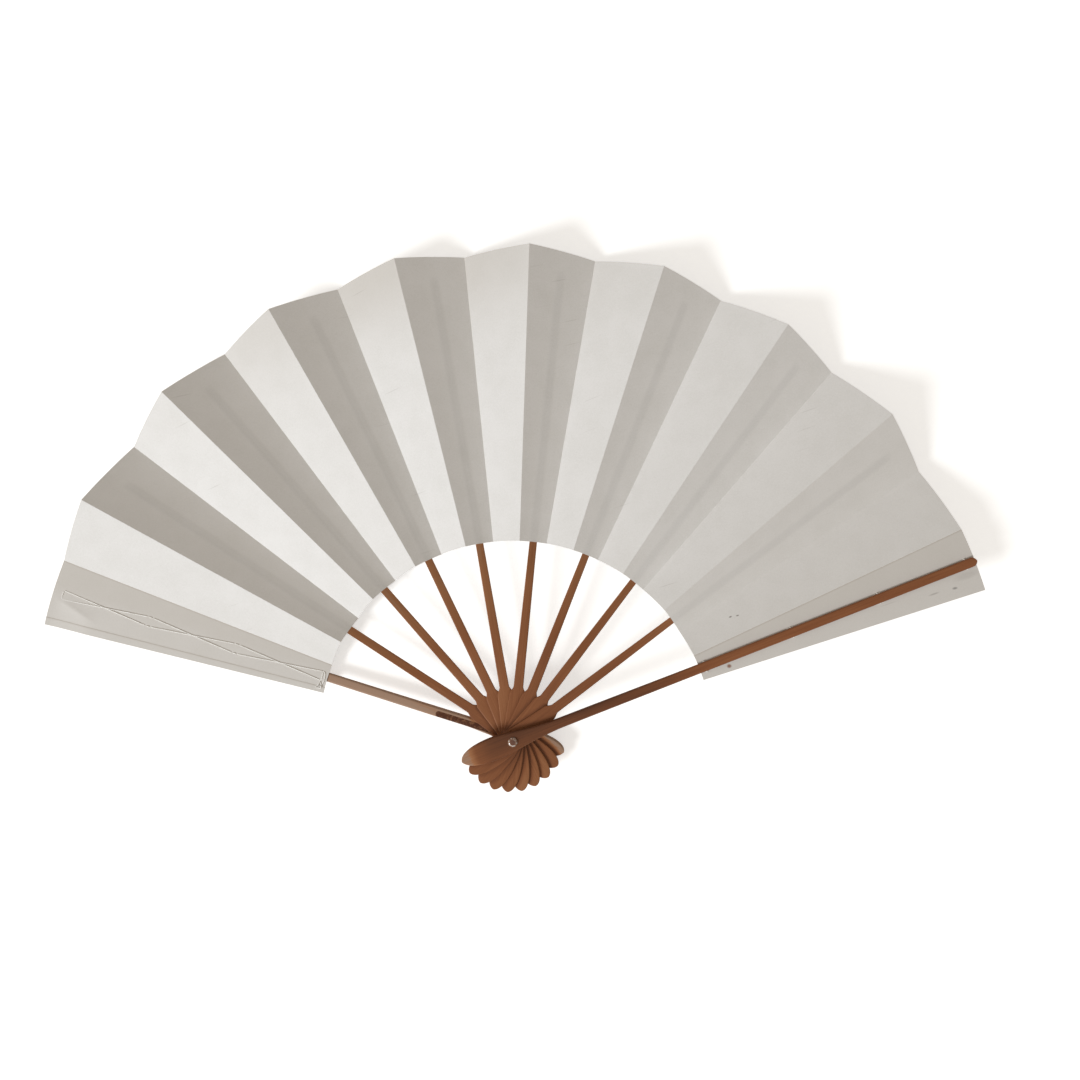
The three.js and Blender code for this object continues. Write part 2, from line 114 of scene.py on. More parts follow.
def add_node(
    owner: Material | bpy.types.World,
    kind: str,
    inputs: dict[str | int, object] | None = None,
    out: str | int = 0,
    stops: Stops = (),
    **settings: object,
) -> Socket | None:
    """Add one shader node, set it up and link what feeds it.

    Args:
        owner: the material or world whose tree gets the node.
        kind: the node's type without the words ShaderNode.
        inputs: socket name or number to a value, or to an output socket that is linked to it.
        out: name or number of the output that is wanted.
        stops: place and sRGB hex colour of each stop, if the node has a colour ramp.
        settings: the node's own properties.

    Returns:
        The wanted output, or None if the node has no outputs.
    """
    tree = owner.node_tree
    node = tree.nodes.new(f"ShaderNode{kind}")
    for name, value in settings.items():
        setattr(node, name, value)
    for name, value in (inputs or {}).items():
        if isinstance(value, Socket):
            tree.links.new(value, node.inputs[name])
        else:
            node.inputs[name].default_value = value
    for number, (place, colour) in enumerate(stops):
        elements = node.color_ramp.elements
        element = elements[number] if number < len(elements) else elements.new(place)
        element.position, element.color = place, linear(colour)
    return node.outputs[out] if node.outputs else None


def fresh_nodes(owner: Material | bpy.types.World) -> Adder:
    """Empty the node tree of a material or world.

    Args:
        owner: the material or world.

    Returns:
        The function that adds a node to it.
    """
    owner.use_nodes = True
    owner.node_tree.nodes.clear()
    return partial(add_node, owner)


def seen_rays(node: Adder) -> Socket:
    """Tell rays that show a surface to the camera, straight, in a gloss or through clear plastic.

    Args:
        node: adds a node.

    Returns:
        1 for such rays and 0 for those that only carry light.
    """
    flags = node("LightPath").node.outputs
    seen = flags["Is Camera Ray"]
    for flag in ("Is Glossy Ray", "Is Transmission Ray"):
        seen = node("Math", {0: seen, 1: flags[flag]}, operation="MAXIMUM")
    return seen


def ramp(values: Array, start: float, end: float) -> Array:
    """An even rise from 0 at start to 1 at end."""
    return np.clip((values - start) / (end - start), 0, 1)


def smooth_step(values: Array, start: float, end: float) -> Array:
    """A soft rise from 0 at start to 1 at end."""
    share = ramp(values, start, end)
    return share * share * (3 - 2 * share)


def bell(away: Array, reach: Array | float, power: int = 2) -> Array:
    """A fall from 1 at no distance to about a third at the reach, by a power in the exponential."""
    return np.exp(-((away / reach) ** power))


def xyz(x: Array | float, y: Array, z: Array | float) -> Array:
    """Points from three coordinates, each spread over the shape of the others."""
    return np.stack(np.broadcast_arrays(x, y, z), axis=-1)


def turned(points: Array, angle: float) -> Array:
    """Points turned about the rivet's axis by an angle in radians."""
    cos, sin = np.cos(angle), np.sin(angle)
    return points @ np.array([[cos, sin, 0], [-sin, cos, 0], [0, 0, 1]])


def grid_faces(rows: int, columns: int, first: int = 0, flip: bool = False) -> Faces:
    """Quads of a grid of points stored row by row.

    Args:
        rows: points along the first parameter.
        columns: points along the second parameter.
        first: index of the grid's first point.
        flip: turn the faces over.

    Returns:
        Four point indices for each quad.
    """
    index = first + np.arange(rows * columns).reshape(rows, columns)
    quads = np.stack([index[:-1, :-1], index[1:, :-1], index[1:, 1:], index[:-1, 1:]], axis=-1)
    return quads.reshape(-1, 4)[:, :: -1 if flip else 1]


def add_piece(
    name: str,
    points: Array,
    faces: Faces,
    material: Material,
    attributes: dict[str, Array] | None = None,
    sharp_deg: float = 50.0,
    weld: bool = True,
) -> Piece:
    """Put a worked-out surface into the scene.

    Args:
        name: name of the piece.
        points: corner points in millimetres, in the fan's frame.
        faces: four point indices for each face.
        material: its finish.
        attributes: values or vectors at the points that its finish reads.
        sharp_deg: edges sharper than this stay sharp.
        weld: join points that meet, and take out slivers.

    Returns:
        The new object, at the origin.
    """
    mesh = bpy.data.meshes.new(name)
    mesh.from_pydata((points * MM).tolist(), [], faces.tolist())
    for key, values in (attributes or {}).items():
        kind, slot = ("FLOAT", "value") if values.ndim == 1 else ("FLOAT_VECTOR", "vector")
        layer = mesh.attributes.new(key, kind, "POINT")
        layer.data.foreach_set(slot, values.astype(np.float32).ravel())
    mesh.materials.append(material)
    if weld:
        work = bmesh.new()
        work.from_mesh(mesh)
        bmesh.ops.remove_doubles(work, verts=work.verts, dist=WELD * MM)
        bmesh.ops.dissolve_degenerate(work, edges=work.edges, dist=SLIVER * MM)
        work.to_mesh(mesh)
        work.free()
    mesh.shade_smooth()
    mesh.set_sharp_from_angle(angle=np.radians(sharp_deg))
    mesh.update()
    piece = bpy.data.objects.new(name, mesh)
    bpy.context.scene.collection.objects.link(piece)
    return piece


# Sizes


@dataclass(frozen=True)
class FanSizes:
    """Sizes that several pieces share, in millimetres and degrees, as in the solid model."""

    ribs: int = 8
    open_deg: float = 141.3
    tail_radius: float = 28.5
    leaf_inner: float = 105.0
    leaf_outer: float = 260.0
    pleat_half: float = 9.5
    rib_thick: float = 1.0
    blade_thick: float = 0.34
    run_gap: float = 0.3
    guard_thick: float = 4.0
    guard_half: float = 2.5
    guard_recess: float = 1.943
    seat_gap: float = 0.15
    leaf_thick: float = 0.35
    head_height: float = 1.2
    twist_start: float = 45.0
    crown: float = 0.1
    end_strip_deg: float = 3.6
    paper_half: float = 0.16
    sag_start: float = 60.0
    sag_slope: float = 0.014

    @property
    def step(self) -> float:
        """Angle between neighbouring sticks, in radians."""
        return float(np.radians(self.open_deg / (self.ribs + 1)))

    @property
    def quarter(self) -> float:
        """Angle from a stick to the nearest fold, in radians."""
        return self.step / 4

    @property
    def twist(self) -> float:
        """Rise across a strip on a rib for each unit of width."""
        return float(self.pleat_half / (self.leaf_outer * np.sin(self.quarter)))

    @property
    def stack_bottom(self) -> float:
        """Height of the lowest stick above the rivet's back."""
        return self.head_height + self.run_gap

    @property
    def pitch(self) -> float:
        """Height from one rib to the next."""
        return self.rib_thick + self.run_gap

    def angle(self, index: int) -> float:
        """Direction of a stick, counted from the left guard, in radians."""
        return float(np.pi / 2 + np.radians(self.open_deg / 2) - index * self.step)

    def rib_z(self, index: int) -> float:
        """Height of a rib's middle."""
        lowest = self.stack_bottom + self.guard_thick + self.run_gap + self.rib_thick / 2
        return lowest + (index - 1) * self.pitch

    def sag(self, radius: Array) -> Array:
        """How far a strip and its rib dip below the straight line between the two folds."""
        soft = smooth_step(radius, self.sag_start, self.leaf_inner)
        return self.sag_slope * np.sin(self.quarter) * radius * soft


SIZES = FanSizes()


class Side(Enum):
    """The two guards, as the viewer sees them, with the sign of the side away from the fan."""

    LEFT = 1
    RIGHT = -1

    def pick(self, left: T, right: T) -> T:
        """The first value for the left guard and the second for the right one."""
        return left if self is Side.LEFT else right

    @property
    def word(self) -> str:
        """Lower-case name."""
        return self.name.lower()

    @property
    def body(self) -> str:
        """The moving body that it belongs to."""
        return f"{self.word}_guard"

    @property
    def angle(self) -> float:
        """Direction of the guard in radians."""
        return SIZES.angle(self.pick(0, SIZES.ribs + 1))

    @property
    def leaf_z(self) -> float:
        """Height of the leaf's end strip, which lies on the guard's recess."""
        depth = SIZES.guard_recess - SIZES.seat_gap - SIZES.leaf_thick / 2
        return self.inner_z - self.value * depth

    @property
    def inner_z(self) -> float:
        """Height of the guard's inner face at the rivet."""
        left = SIZES.stack_bottom + SIZES.guard_thick
        return self.pick(left, left + SIZES.run_gap + SIZES.ribs * SIZES.pitch)

    @property
    def outer_z(self) -> float:
        """Height of the guard's outer face."""
        return self.pick(SIZES.stack_bottom, self.inner_z + SIZES.guard_thick)


# Finishes


class Finish:
    """A real material. Each kind of finish draws its own pattern."""

    name: str

    def pattern(self, node: Adder) -> dict[str, object]:
        """What goes into the shader, by the shader's socket names."""
        raise NotImplementedError

    def build(self) -> Material:
        """Make the material.

        Returns:
            The finished material.
        """
        material = bpy.data.materials.new(self.name)
        node = fresh_nodes(material)
        shader = node("BsdfPrincipled", self.pattern(node))
        node("OutputMaterial", {"Surface": shader})
        return material


@dataclass(frozen=True)
class SmokedBamboo(Finish):
    """Bamboo browned by smoke and rubbed with thin lacquer.

    Split bamboo shows straight fibres along the stick, a satin gloss, and darker patches where
    hands hold it. The real fibres are about 0.3 mm apart; they are drawn at 0.7 mm to show.
    """

    name: str = "smoked_bamboo"
    browns: Stops = (
        (0.0, "58341f"), (0.35, "804e2f"), (0.5, "8e5a38"),
        (0.62, "976441"), (0.85, "a6714b"), (1.0, "a58670"),
    )
    fibre_mm: Triple = (28.0, 0.7, 3.0)
    patch_mm: Triple = (36.0, 9.0, 9.0)
    fibre_share: float = 0.42
    patch_share: float = 0.3
    noise_middle: float = 0.5

    def pattern(self, node: Adder) -> dict[str, object]:
        """Draw fibres and patches round a tone, from the point attributes grain and tone.

        Args:
            node: adds a node.

        Returns:
            What goes into the shader.
        """
        grain = node("Attribute", out="Vector", attribute_name="grain")
        level = node("Attribute", out="Fac", attribute_name="tone")
        along = node("Mapping", {"Vector": grain, "Scale": [1 / size for size in self.fibre_mm]})
        fibres = node("TexNoise", {"Vector": along, "Scale": 1.0, "Detail": 4.0, "Roughness": 0.6})
        spread = node("Mapping", {"Vector": grain, "Scale": [1 / size for size in self.patch_mm]})
        patches = node("TexNoise", {"Vector": spread, "Scale": 1.0, "Detail": 2.0})
        for noise, share in ((fibres, self.fibre_share), (patches, self.patch_share)):
            swing = node("Math", {0: noise, 1: self.noise_middle}, operation="SUBTRACT")
            level = node("Math", {0: swing, 1: share, 2: level}, operation="MULTIPLY_ADD")
        return {
            "Base Color": node("ValToRGB", {0: level}, stops=self.browns),
            "Roughness": 0.5,
            "IOR": 1.5,
            "Specular IOR Level": 0.2,
            "Normal": node("Bump", {"Height": fibres, "Strength": 0.25, "Distance": 0.08 * MM}),
        }


@dataclass(frozen=True)
class Mark:
    """A small mark on the paper: an ellipse in plan, in millimetres from the rivet."""

    at: Pair
    half: Pair
    turn_deg: float
    colour: str
    strength: float


@dataclass(frozen=True)
class LeafPaper(Finish):
    """Handmade white paper pasted in plies over the ribs.

    It is matt, with short tangled fibres and soft clouds from the mould. Ribs show through as a
    faint darker band, and handling has left thin scuffs and a few stains. A darkening attribute,
    mostly painted shade, greys it by strip, at the rim and along creases, and one mark is painted
    shade beneath a guard's tip.
    """

    name: str = "leaf_paper"
    whites: Stops = ((0.36, "e7e5e1"), (0.6, "eeece9"))
    scuff: str = "a59d93"
    rib_show: str = "f8f8f8"
    # Grey that the darkening mixes in; most of that darkening is painted shade
    darkened: str = "c9c2b8"
    fibre_mm: float = 0.8
    cloud_mm: float = 14.0
    cloud_share: float = 0.4
    scuff_mm: Pair = (105.0, 5.0)
    scuff_turn_deg: float = 17.0
    marks: tuple[Mark, ...] = (
        Mark((114.7, 35.4), (1.5, 1.3), 0.0, "8a5a3e", 0.85),
        Mark((117.0, 60.8), (1.0, 0.45), 20.0, "6f665d", 0.8),
        Mark((120.7, 61.4), (1.0, 0.4), 15.0, "6f665d", 0.8),
        Mark((234.3, 72.0), (1.7, 0.8), 10.0, "85827e", 0.7),
        Mark((223.3, 69.4), (3.5, 0.6), 17.0, "a19b94", 0.5),
        # Painted shade beneath the right guard's tip
        Mark((241.0, 78.6), (9.0, 2.4), 17.0, "9d968e", 0.2),
    )

    def pattern(self, node: Adder) -> dict[str, object]:
        """Draw the paper from Object coordinates and the point attributes ridge and soil.

        Args:
            node: adds a node.

        Returns:
            What goes into the shader.
        """
        place = node("TexCoord", out="Object")
        ridge = node("Attribute", out="Fac", attribute_name="ridge")
        soil = node("Attribute", out="Fac", attribute_name="soil")
        fine, wide = 1 / (self.fibre_mm * MM), 1 / (self.cloud_mm * MM)
        clouds = node("TexNoise", {"Vector": place, "Scale": wide, "Detail": 3.0})
        tangle = {"Scale": fine, "Detail": 3.0, "Distortion": 1.2}
        fibres = node("TexNoise", {"Vector": place, **tangle})
        mottle = node("Mix", {0: self.cloud_share, 2: fibres, 3: clouds})
        # Each scuff is a thin ellipse round the middle of a stretched cell, and few cells have one
        stretched = node("Mapping", {
            "Vector": place,
            "Rotation": (0.0, 0.0, np.radians(self.scuff_turn_deg)),
            "Scale": (self.scuff_mm[0] * MM, self.scuff_mm[1] * MM, 1.0),
        }, vector_type="TEXTURE")
        cells = node("TexVoronoi", {"Vector": stretched, "Scale": 1.0}, voronoi_dimensions="2D")
        chance = node("SeparateColor", {0: cells.node.outputs["Color"]})
        stroke = node("MapRange", {"Value": cells, "From Min": 0.055, "From Max": 0.02})
        chosen = node("MapRange", {"Value": chance, "From Min": 0.8, "To Max": 0.27})
        scuffs = node("Math", {0: stroke, 1: chosen}, operation="MULTIPLY")
        # The darkening attribute, mostly painted shade, mixes in a grey
        layers = [
            (soil, self.darkened, "MIX"),
            (ridge, self.rib_show, "MULTIPLY"),
            (scuffs, self.scuff, "MIX"),
        ]
        for mark in self.marks:
            local = node("Mapping", {
                "Vector": place,
                "Location": (mark.at[0] * MM, mark.at[1] * MM, 0.0),
                "Rotation": (0.0, 0.0, np.radians(mark.turn_deg)),
                "Scale": (mark.half[0] * MM, mark.half[1] * MM, 1.0),
            }, vector_type="TEXTURE")
            reach = node("VectorMath", {0: local}, "Value", operation="LENGTH")
            fade = {"From Min": 1.0, "From Max": 0.4, "To Max": mark.strength}
            layers.append((node("MapRange", {"Value": reach, **fade}), mark.colour, "MIX"))
        colour = node("ValToRGB", {0: mottle}, stops=self.whites)
        for amount, tint, blend in layers:
            inputs = {0: amount, MIX_A: colour, MIX_B: linear(tint)}
            colour = node("Mix", inputs, MIX_OUT, data_type="RGBA", blend_type=blend)
        return {
            "Base Color": colour,
            "Roughness": 0.88,
            "IOR": 1.45,
            "Specular IOR Level": 0.25,
            "Normal": node("Bump", {"Height": fibres, "Strength": 0.3, "Distance": 0.1 * MM}),
        }


@dataclass(frozen=True)
class TwistedThread(Finish):
    """White twisted cotton thread, matt, with two plies that wind round each other."""

    name: str = "twisted_thread"
    whites: Stops = ((0.0, "e2dcd3"), (0.6, "fbfaf7"))

    def pattern(self, node: Adder) -> dict[str, object]:
        """Draw the twist from the point attributes lay, in turns of the twist, and around.

        Args:
            node: adds a node.

        Returns:
            What goes into the shader.
        """
        lay = node("Attribute", out="Fac", attribute_name="lay")
        around = node("Attribute", out="Vector", attribute_name="around")
        wave = node("Math", {0: lay, 1: 2 * np.pi}, operation="MULTIPLY")
        sine = node("Math", {0: wave}, operation="SINE")
        cosine = node("Math", {0: wave}, operation="COSINE")
        turning = node("CombineXYZ", {0: sine, 1: cosine})
        swing = node("VectorMath", {0: turning, 1: around}, "Value", operation="DOT_PRODUCT")
        level = node("MapRange", {"Value": swing, "From Min": -1.0})
        return {
            "Base Color": node("ValToRGB", {0: level}, stops=self.whites),
            "Roughness": 0.8,
            "Normal": node("Bump", {"Height": level, "Strength": 0.2, "Distance": 0.1 * MM}),
        }


@dataclass(frozen=True)
class LacqueredLead(Finish):
    """Lead strip under dark brown lacquer, worn in mottled patches."""

    name: str = "lacquered_lead"
    browns: Stops = ((0.5, "522f1e"), (0.72, "946848"))
    patch_mm: float = 1.6

    def pattern(self, node: Adder) -> dict[str, object]:
        """Draw the patches from Object coordinates.

        Args:
            node: adds a node.

        Returns:
            What goes into the shader.
        """
        mottle = {"Scale": 1 / (self.patch_mm * MM), "Detail": 4.0, "Roughness": 0.65}
        patches = node("TexNoise", {"Vector": node("TexCoord", out="Object"), **mottle})
        return {
            "Base Color": node("ValToRGB", {0: patches}, stops=self.browns),
            "Roughness": 0.5,
            "IOR": 1.5,
            "Specular IOR Level": 0.15,
            "Normal": node("Bump", {"Height": patches, "Strength": 0.3, "Distance": 0.1 * MM}),
        }


@dataclass(frozen=True)
class AmberPlastic(Finish):
    """Clear plastic, cast and polished, with the brown pin showing through the middle of its head.

    The rim looks pale and cloudy, and its gloss catches the lamp.
    """

    name: str = "amber_plastic"
    pin: str = "6b4029"
    clouds: Stops = ((0.36, "80583f"), (0.5, "a5846c"), (0.66, "d2cbc4"))
    cloud_mm: float = 1.1

    def pattern(self, node: Adder) -> dict[str, object]:
        """Draw pin and rim from Object coordinates and the point attribute rim.

        Args:
            node: adds a node.

        Returns:
            What goes into the shader.
        """
        place = node("TexCoord", out="Object")
        outward = node("Attribute", out="Fac", attribute_name="rim")
        size = 1 / (self.cloud_mm * MM)
        haze = node("TexNoise", {"Vector": place, "Scale": size, "Detail": 1.0})
        cloudy = node("ValToRGB", {0: haze}, stops=self.clouds)
        past_pin = node("MapRange", {"Value": outward, "From Min": 0.5, "From Max": 0.66})
        inputs = {0: past_pin, MIX_A: linear(self.pin), MIX_B: cloudy}
        return {
            "Base Color": node("Mix", inputs, MIX_OUT, data_type="RGBA"),
            "Roughness": 0.08,
            "IOR": 1.5,
            "Specular IOR Level": 0.3,
            "Transmission Weight": 0.1,
            "Coat Weight": 0.2,
            "Coat Roughness": 0.03,
        }


@dataclass(frozen=True)
class PaleFloor(Finish):
    """Pale matt board that glows a little towards the camera, so that it ends white.

    It glows more away from the fan, where the lamp no longer reaches.
    """

    name: str = "pale_floor"
    colour: str = "f2f0ec"
    lift: float = 0.54
    white_from_mm: float = 500.0
    white_at_mm: float = 1500.0

    def pattern(self, node: Adder) -> dict[str, object]:
        """Draw the glow from Object coordinates.

        Args:
            node: adds a node.

        Returns:
            What goes into the shader.
        """
        place = node("TexCoord", out="Object")
        away = node("VectorMath", {0: place}, "Value", operation="LENGTH")
        ends = {"From Min": self.white_from_mm * MM, "From Max": self.white_at_mm * MM}
        glow = node("MapRange", {"Value": away, **ends, "To Min": self.lift})
        return {
            "Base Color": linear(self.colour),
            "Roughness": 0.9,
            "Specular IOR Level": 0.1,
            "Emission Color": WHITE,
            "Emission Strength": node("Math", {0: seen_rays(node), 1: glow}, operation="MULTIPLY"),
        }


# Sub-assemblies


@dataclass
class Assembly:
    """Pieces that are built together."""

    pieces: list[Piece] = field(default_factory=list, init=False)

    def place(self, piece: Piece, body: str, node: str, slot: str) -> None:
        """Enter a piece in the list and tell the frame where it belongs.

        Args:
            piece: the piece.
            body: the moving body that it rides on.
            node: the node of the solid model that it replaces.
            slot: the material slot that it shows; not used.
        """
        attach(piece, body)
        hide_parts(node)
        self.pieces.append(piece)

    def flatten(self, piece: Piece, level: float) -> None:
        """Give a piece its own copy of its mesh."""
        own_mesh(piece)


@dataclass(frozen=True)
class StickPlan:
    """Outline of one kind of stick, in millimetres from the rivet, and how finely it is drawn."""

    shoulder_half: float
    shoulder_at: float
    shoulder_length: float
    neck_half: float
    blade_half: float
    tip_half: float
    tip_radius: float
    edge_round: float
    head_half: float = 6.2
    head_back: float = 9.0
    head_ease: float = 2.0
    tail_fullness: float = 2.4
    hole_radius: float = 1.75
    cut_clear: float = 0.05
    tail_steps: int = 26
    head_steps: int = 10
    hole_steps: int = 17
    blade_steps: int = 81
    shoulder_steps: int = 12
    shoulder_inset: float = 0.06
    tip_steps: int = 12
    digits: int = 4

    @property
    def tip_centre(self) -> float:
        """Middle of the round tip."""
        return self.tip_radius - self.tip_half

    def stations(self) -> Array:
        """Distances from the rivet at which a stick has a section.

        They follow the cosine at the tail, round the hole and at the tip, and the square of an even
        count along the blade, with more of them at the shoulder.

        Returns:
            Rising distances.
        """
        tail = np.cos(np.linspace(0, np.pi / 2, self.tail_steps)) ** (2 / self.tail_fullness)
        even = np.linspace(0, 1, self.blade_steps)
        inset = self.shoulder_inset
        shoulder = np.linspace(inset, 1 - inset, self.shoulder_steps)
        parts = [
            -self.head_back - (SIZES.tail_radius - self.head_back) * tail,
            np.linspace(-self.head_back, -self.hole_radius, self.head_steps),
            -self.hole_radius * np.cos(np.linspace(0, np.pi, self.hole_steps)),
            self.hole_radius + (self.tip_centre - self.hole_radius) * even**2,
            self.shoulder_at + self.shoulder_length * shoulder,
            self.tip_centre + self.tip_half * np.cos(np.linspace(np.pi / 2, 0, self.tip_steps)),
        ]
        return np.unique(np.round(np.concatenate(parts), self.digits))

    def cut(self, at: float) -> tuple[Array, Array]:
        """Stations on both sides of a cut, which is written twice so that it can be closed.

        Args:
            at: distance of the cut from the rivet.

        Returns:
            Distances up to the cut, and distances from the cut on.
        """
        whole, twice = self.stations(), [at, at]
        before, after = whole[whole < at - self.cut_clear], whole[whole > at + self.cut_clear]
        return np.concatenate([before, twice]), np.concatenate([twice, after])

    def half_width(self, distance: Array) -> Array:
        """Half the width of a stick.

        Half a blunt ellipse behind the widest place. In front of it an even taper whose start is
        eased, a soft step down at the shoulder, an even taper along the open blade, another one
        inside the leaf, and a half circle at the tip.

        Args:
            distance: distances from the rivet.

        Returns:
            Half widths at those distances.
        """
        ahead = np.maximum(distance + self.head_back, 0)
        eased = np.sqrt(ahead**2 + self.head_ease**2) - self.head_ease
        share = ramp(eased, 0, self.shoulder_at + self.head_back)
        head = self.head_half + (self.shoulder_half - self.head_half) * share
        along = ramp(distance, self.shoulder_at, SIZES.leaf_inner)
        blade = self.neck_half + (self.blade_half - self.neck_half) * along
        step = smooth_step(distance, self.shoulder_at, self.shoulder_at + self.shoulder_length)
        inside = ramp(distance, SIZES.leaf_inner, self.tip_centre)
        front = head + (blade - head) * step + (self.tip_half - self.blade_half) * inside
        behind = ramp(distance, -self.head_back, -SIZES.tail_radius)
        tail = self.head_half * np.sqrt(1 - behind**self.tail_fullness)
        past = ramp(distance - self.tip_centre, 0, self.tip_half)
        return np.where(distance < -self.head_back, tail, front * np.sqrt(1 - past**2))

    def edge_shadow(self, points: Array, turn: float, reach: Array) -> Array:
        """Painted shadow on a stick along the edge of the stick that lies over it.

        It stays full beside the upper stick's outline and falls as the exponential of the fourth
        power of the distance outside it, divided by the reach.

        Args:
            points: places on the lower stick, in its own directions.
            turn: angle from the lower stick to the upper one, in radians.
            reach: distance at each place over which the painted shadow falls to about a third.

        Returns:
            Painted shadow from 0 to 1.
        """
        along, across, _ = np.moveaxis(turned(points, -turn), -1, 0)
        beyond = np.maximum(-SIZES.tail_radius - along, 0)
        outside = np.hypot(np.maximum(np.abs(across) - self.half_width(along), 0), beyond)
        return bell(outside, reach, power=4)


RIB_PLAN = StickPlan(
    shoulder_half=4.1, shoulder_at=24.0, shoulder_length=4.0, neck_half=2.6, blade_half=2.0,
    tip_half=1.5, tip_radius=246.0, edge_round=0.5,
)
GUARD_PLAN = StickPlan(
    shoulder_half=3.5, shoulder_at=11.0, shoulder_length=16.0, neck_half=2.75,
    blade_half=SIZES.guard_half, tip_half=SIZES.guard_half, tip_radius=260.2, edge_round=1.0,
)


@dataclass
class StickShade:
    """Lightness of a stick, with painted shade across it, round the rivet and by the stick above.

    It changes along the stations and on the top face. The painted shadow by the stick above has
    a strength and a reach at the head and at the tail.
    """

    along: Array | float
    lean: Array | float = 0.0
    top: float = 0.0
    # Painted shade on the top face round the rivet: full out to the first reach, gone at the second
    rivet: float = 0.0
    rivet_shade_reach: Pair = (6.5, 12.0)
    upper: StickPlan | None = None
    head_shadow: float = 0.0
    tail_shadow: float = 0.0
    head_reach: float = 1.3
    tail_reach: float = 2.0
    head_to_tail: Pair = (4.0, -6.0)

    def tones(self, points: Array, facing_up: NDArray[np.bool_]) -> Array:
        """Work out the tone of the bamboo.

        Args:
            points: places in the stick's own directions, one row for each station.
            facing_up: which of them are on the top face.

        Returns:
            Tones from 0 for dark to 1 for pale.
        """
        x, y = points[..., 0], points[..., 1]
        # Painted shade round the rivet, on the top face only
        near = 1 - smooth_step(np.hypot(x, y), *self.rivet_shade_reach)
        level = np.reshape(self.along, (-1, 1)) + np.reshape(self.lean, (-1, 1)) * y
        level = level + (self.top - self.rivet * near) * facing_up
        if self.upper is None:
            return level
        # Painted shadow beside the stick that lies above this one
        behind = smooth_step(x, *self.head_to_tail)
        most = self.head_shadow + (self.tail_shadow - self.head_shadow) * behind
        reach = self.head_reach + (self.tail_reach - self.head_reach) * behind
        return level - most * self.upper.edge_shadow(points, -SIZES.step, reach) * facing_up


@dataclass
class Stick:
    """A length of a stick: its outline, and height of both faces and shear at each station.

    The angle is its direction in radians, and the seed moves the grain so that no two sticks match.
    """

    plan: StickPlan
    distance: Array
    low: Array
    high: Array
    twist: Array
    angle: float
    shade: StickShade
    seed: float
    edge_steps: int = 9
    edge_most: float = 0.5
    top_steps: int = 9
    top_end: float = 0.94
    low_steps: int = 4
    low_end: float = 0.9

    def section(self) -> tuple[Array, Array]:
        """Half a section at each station, from the middle of the top round the edge to the bottom.

        The edge is half an ellipse. Beside the rivet the section starts at the hole's wall, which
        follows a circle.

        Returns:
            Across and height, one row for each station.
        """
        low, high = self.low[:, None], self.high[:, None]
        half = self.plan.half_width(self.distance)[:, None]
        wall = np.sqrt(np.maximum(self.plan.hole_radius**2 - self.distance**2, 0))[:, None]
        edge = np.minimum(self.plan.edge_round, half * self.edge_most)
        flat = half - edge - wall
        turn = np.linspace(np.pi / 2, -np.pi / 2, self.edge_steps)
        top = np.linspace(0, self.top_end, self.top_steps)
        bottom = np.linspace(self.low_end, 0, self.low_steps)
        across = [wall + flat * top, half - edge + edge * np.cos(turn), wall + flat * bottom]
        height = [
            np.repeat(high, top.size, axis=1),
            (low + high) / 2 + (high - low) / 2 * np.sin(turn),
            np.repeat(low, bottom.size, axis=1),
        ]
        return np.concatenate(across, axis=1), np.concatenate(height, axis=1)

    def build(self, name: str, bamboo: Material) -> Piece:
        """Build the stick from its sections.

        The left and right halves share their middle line except at the hole, where a wall joins top
        and bottom. The section is sheared by twist times the distance across. The faces are crowned
        by a parabola across. A station that is written twice is a cut, which is closed by drawing
        its outer section together to the middle line.

        Args:
            name: name of the piece.
            bamboo: its finish.

        Returns:
            The new piece.
        """
        x = self.distance[:, None]
        half = np.maximum(self.plan.half_width(x), TINY)
        across, height = self.section()
        rows, columns = across.shape
        from_centre = height - (self.low + self.high)[:, None] / 2
        crowned = height + np.sign(from_centre) * SIZES.crown * (1 - (across / half) ** 2)
        across[0] *= x[0] < x[1]
        across[-1] *= x[-2] < x[-1]
        tops = np.flatnonzero(np.abs(x) <= self.plan.hole_radius + TINY) * columns
        lows = tops + columns - 1
        walls = np.stack([tops[:-1], tops[1:], lows[1:], lows[:-1]], axis=-1)
        points, faces, grain, tones = [], [], [], []
        for sign, first in ((1, 0), (-1, rows * columns)):
            y = sign * across
            local = xyz(x, y, crowned + self.twist[:, None] * y)
            points.append(local.reshape(-1, 3))
            grain.append(xyz(x, y + self.seed, from_centre).reshape(-1, 3))
            tones.append(self.shade.tones(local, from_centre > 0).reshape(-1))
            faces.append(grid_faces(rows, columns, first, flip=sign < 0))
            faces.append((first + walls)[:, ::-sign])
        attributes = {"grain": np.concatenate(grain), "tone": np.concatenate(tones)}
        corners = turned(np.concatenate(points), self.angle)
        return add_piece(name, corners, np.concatenate(faces), bamboo, attributes)


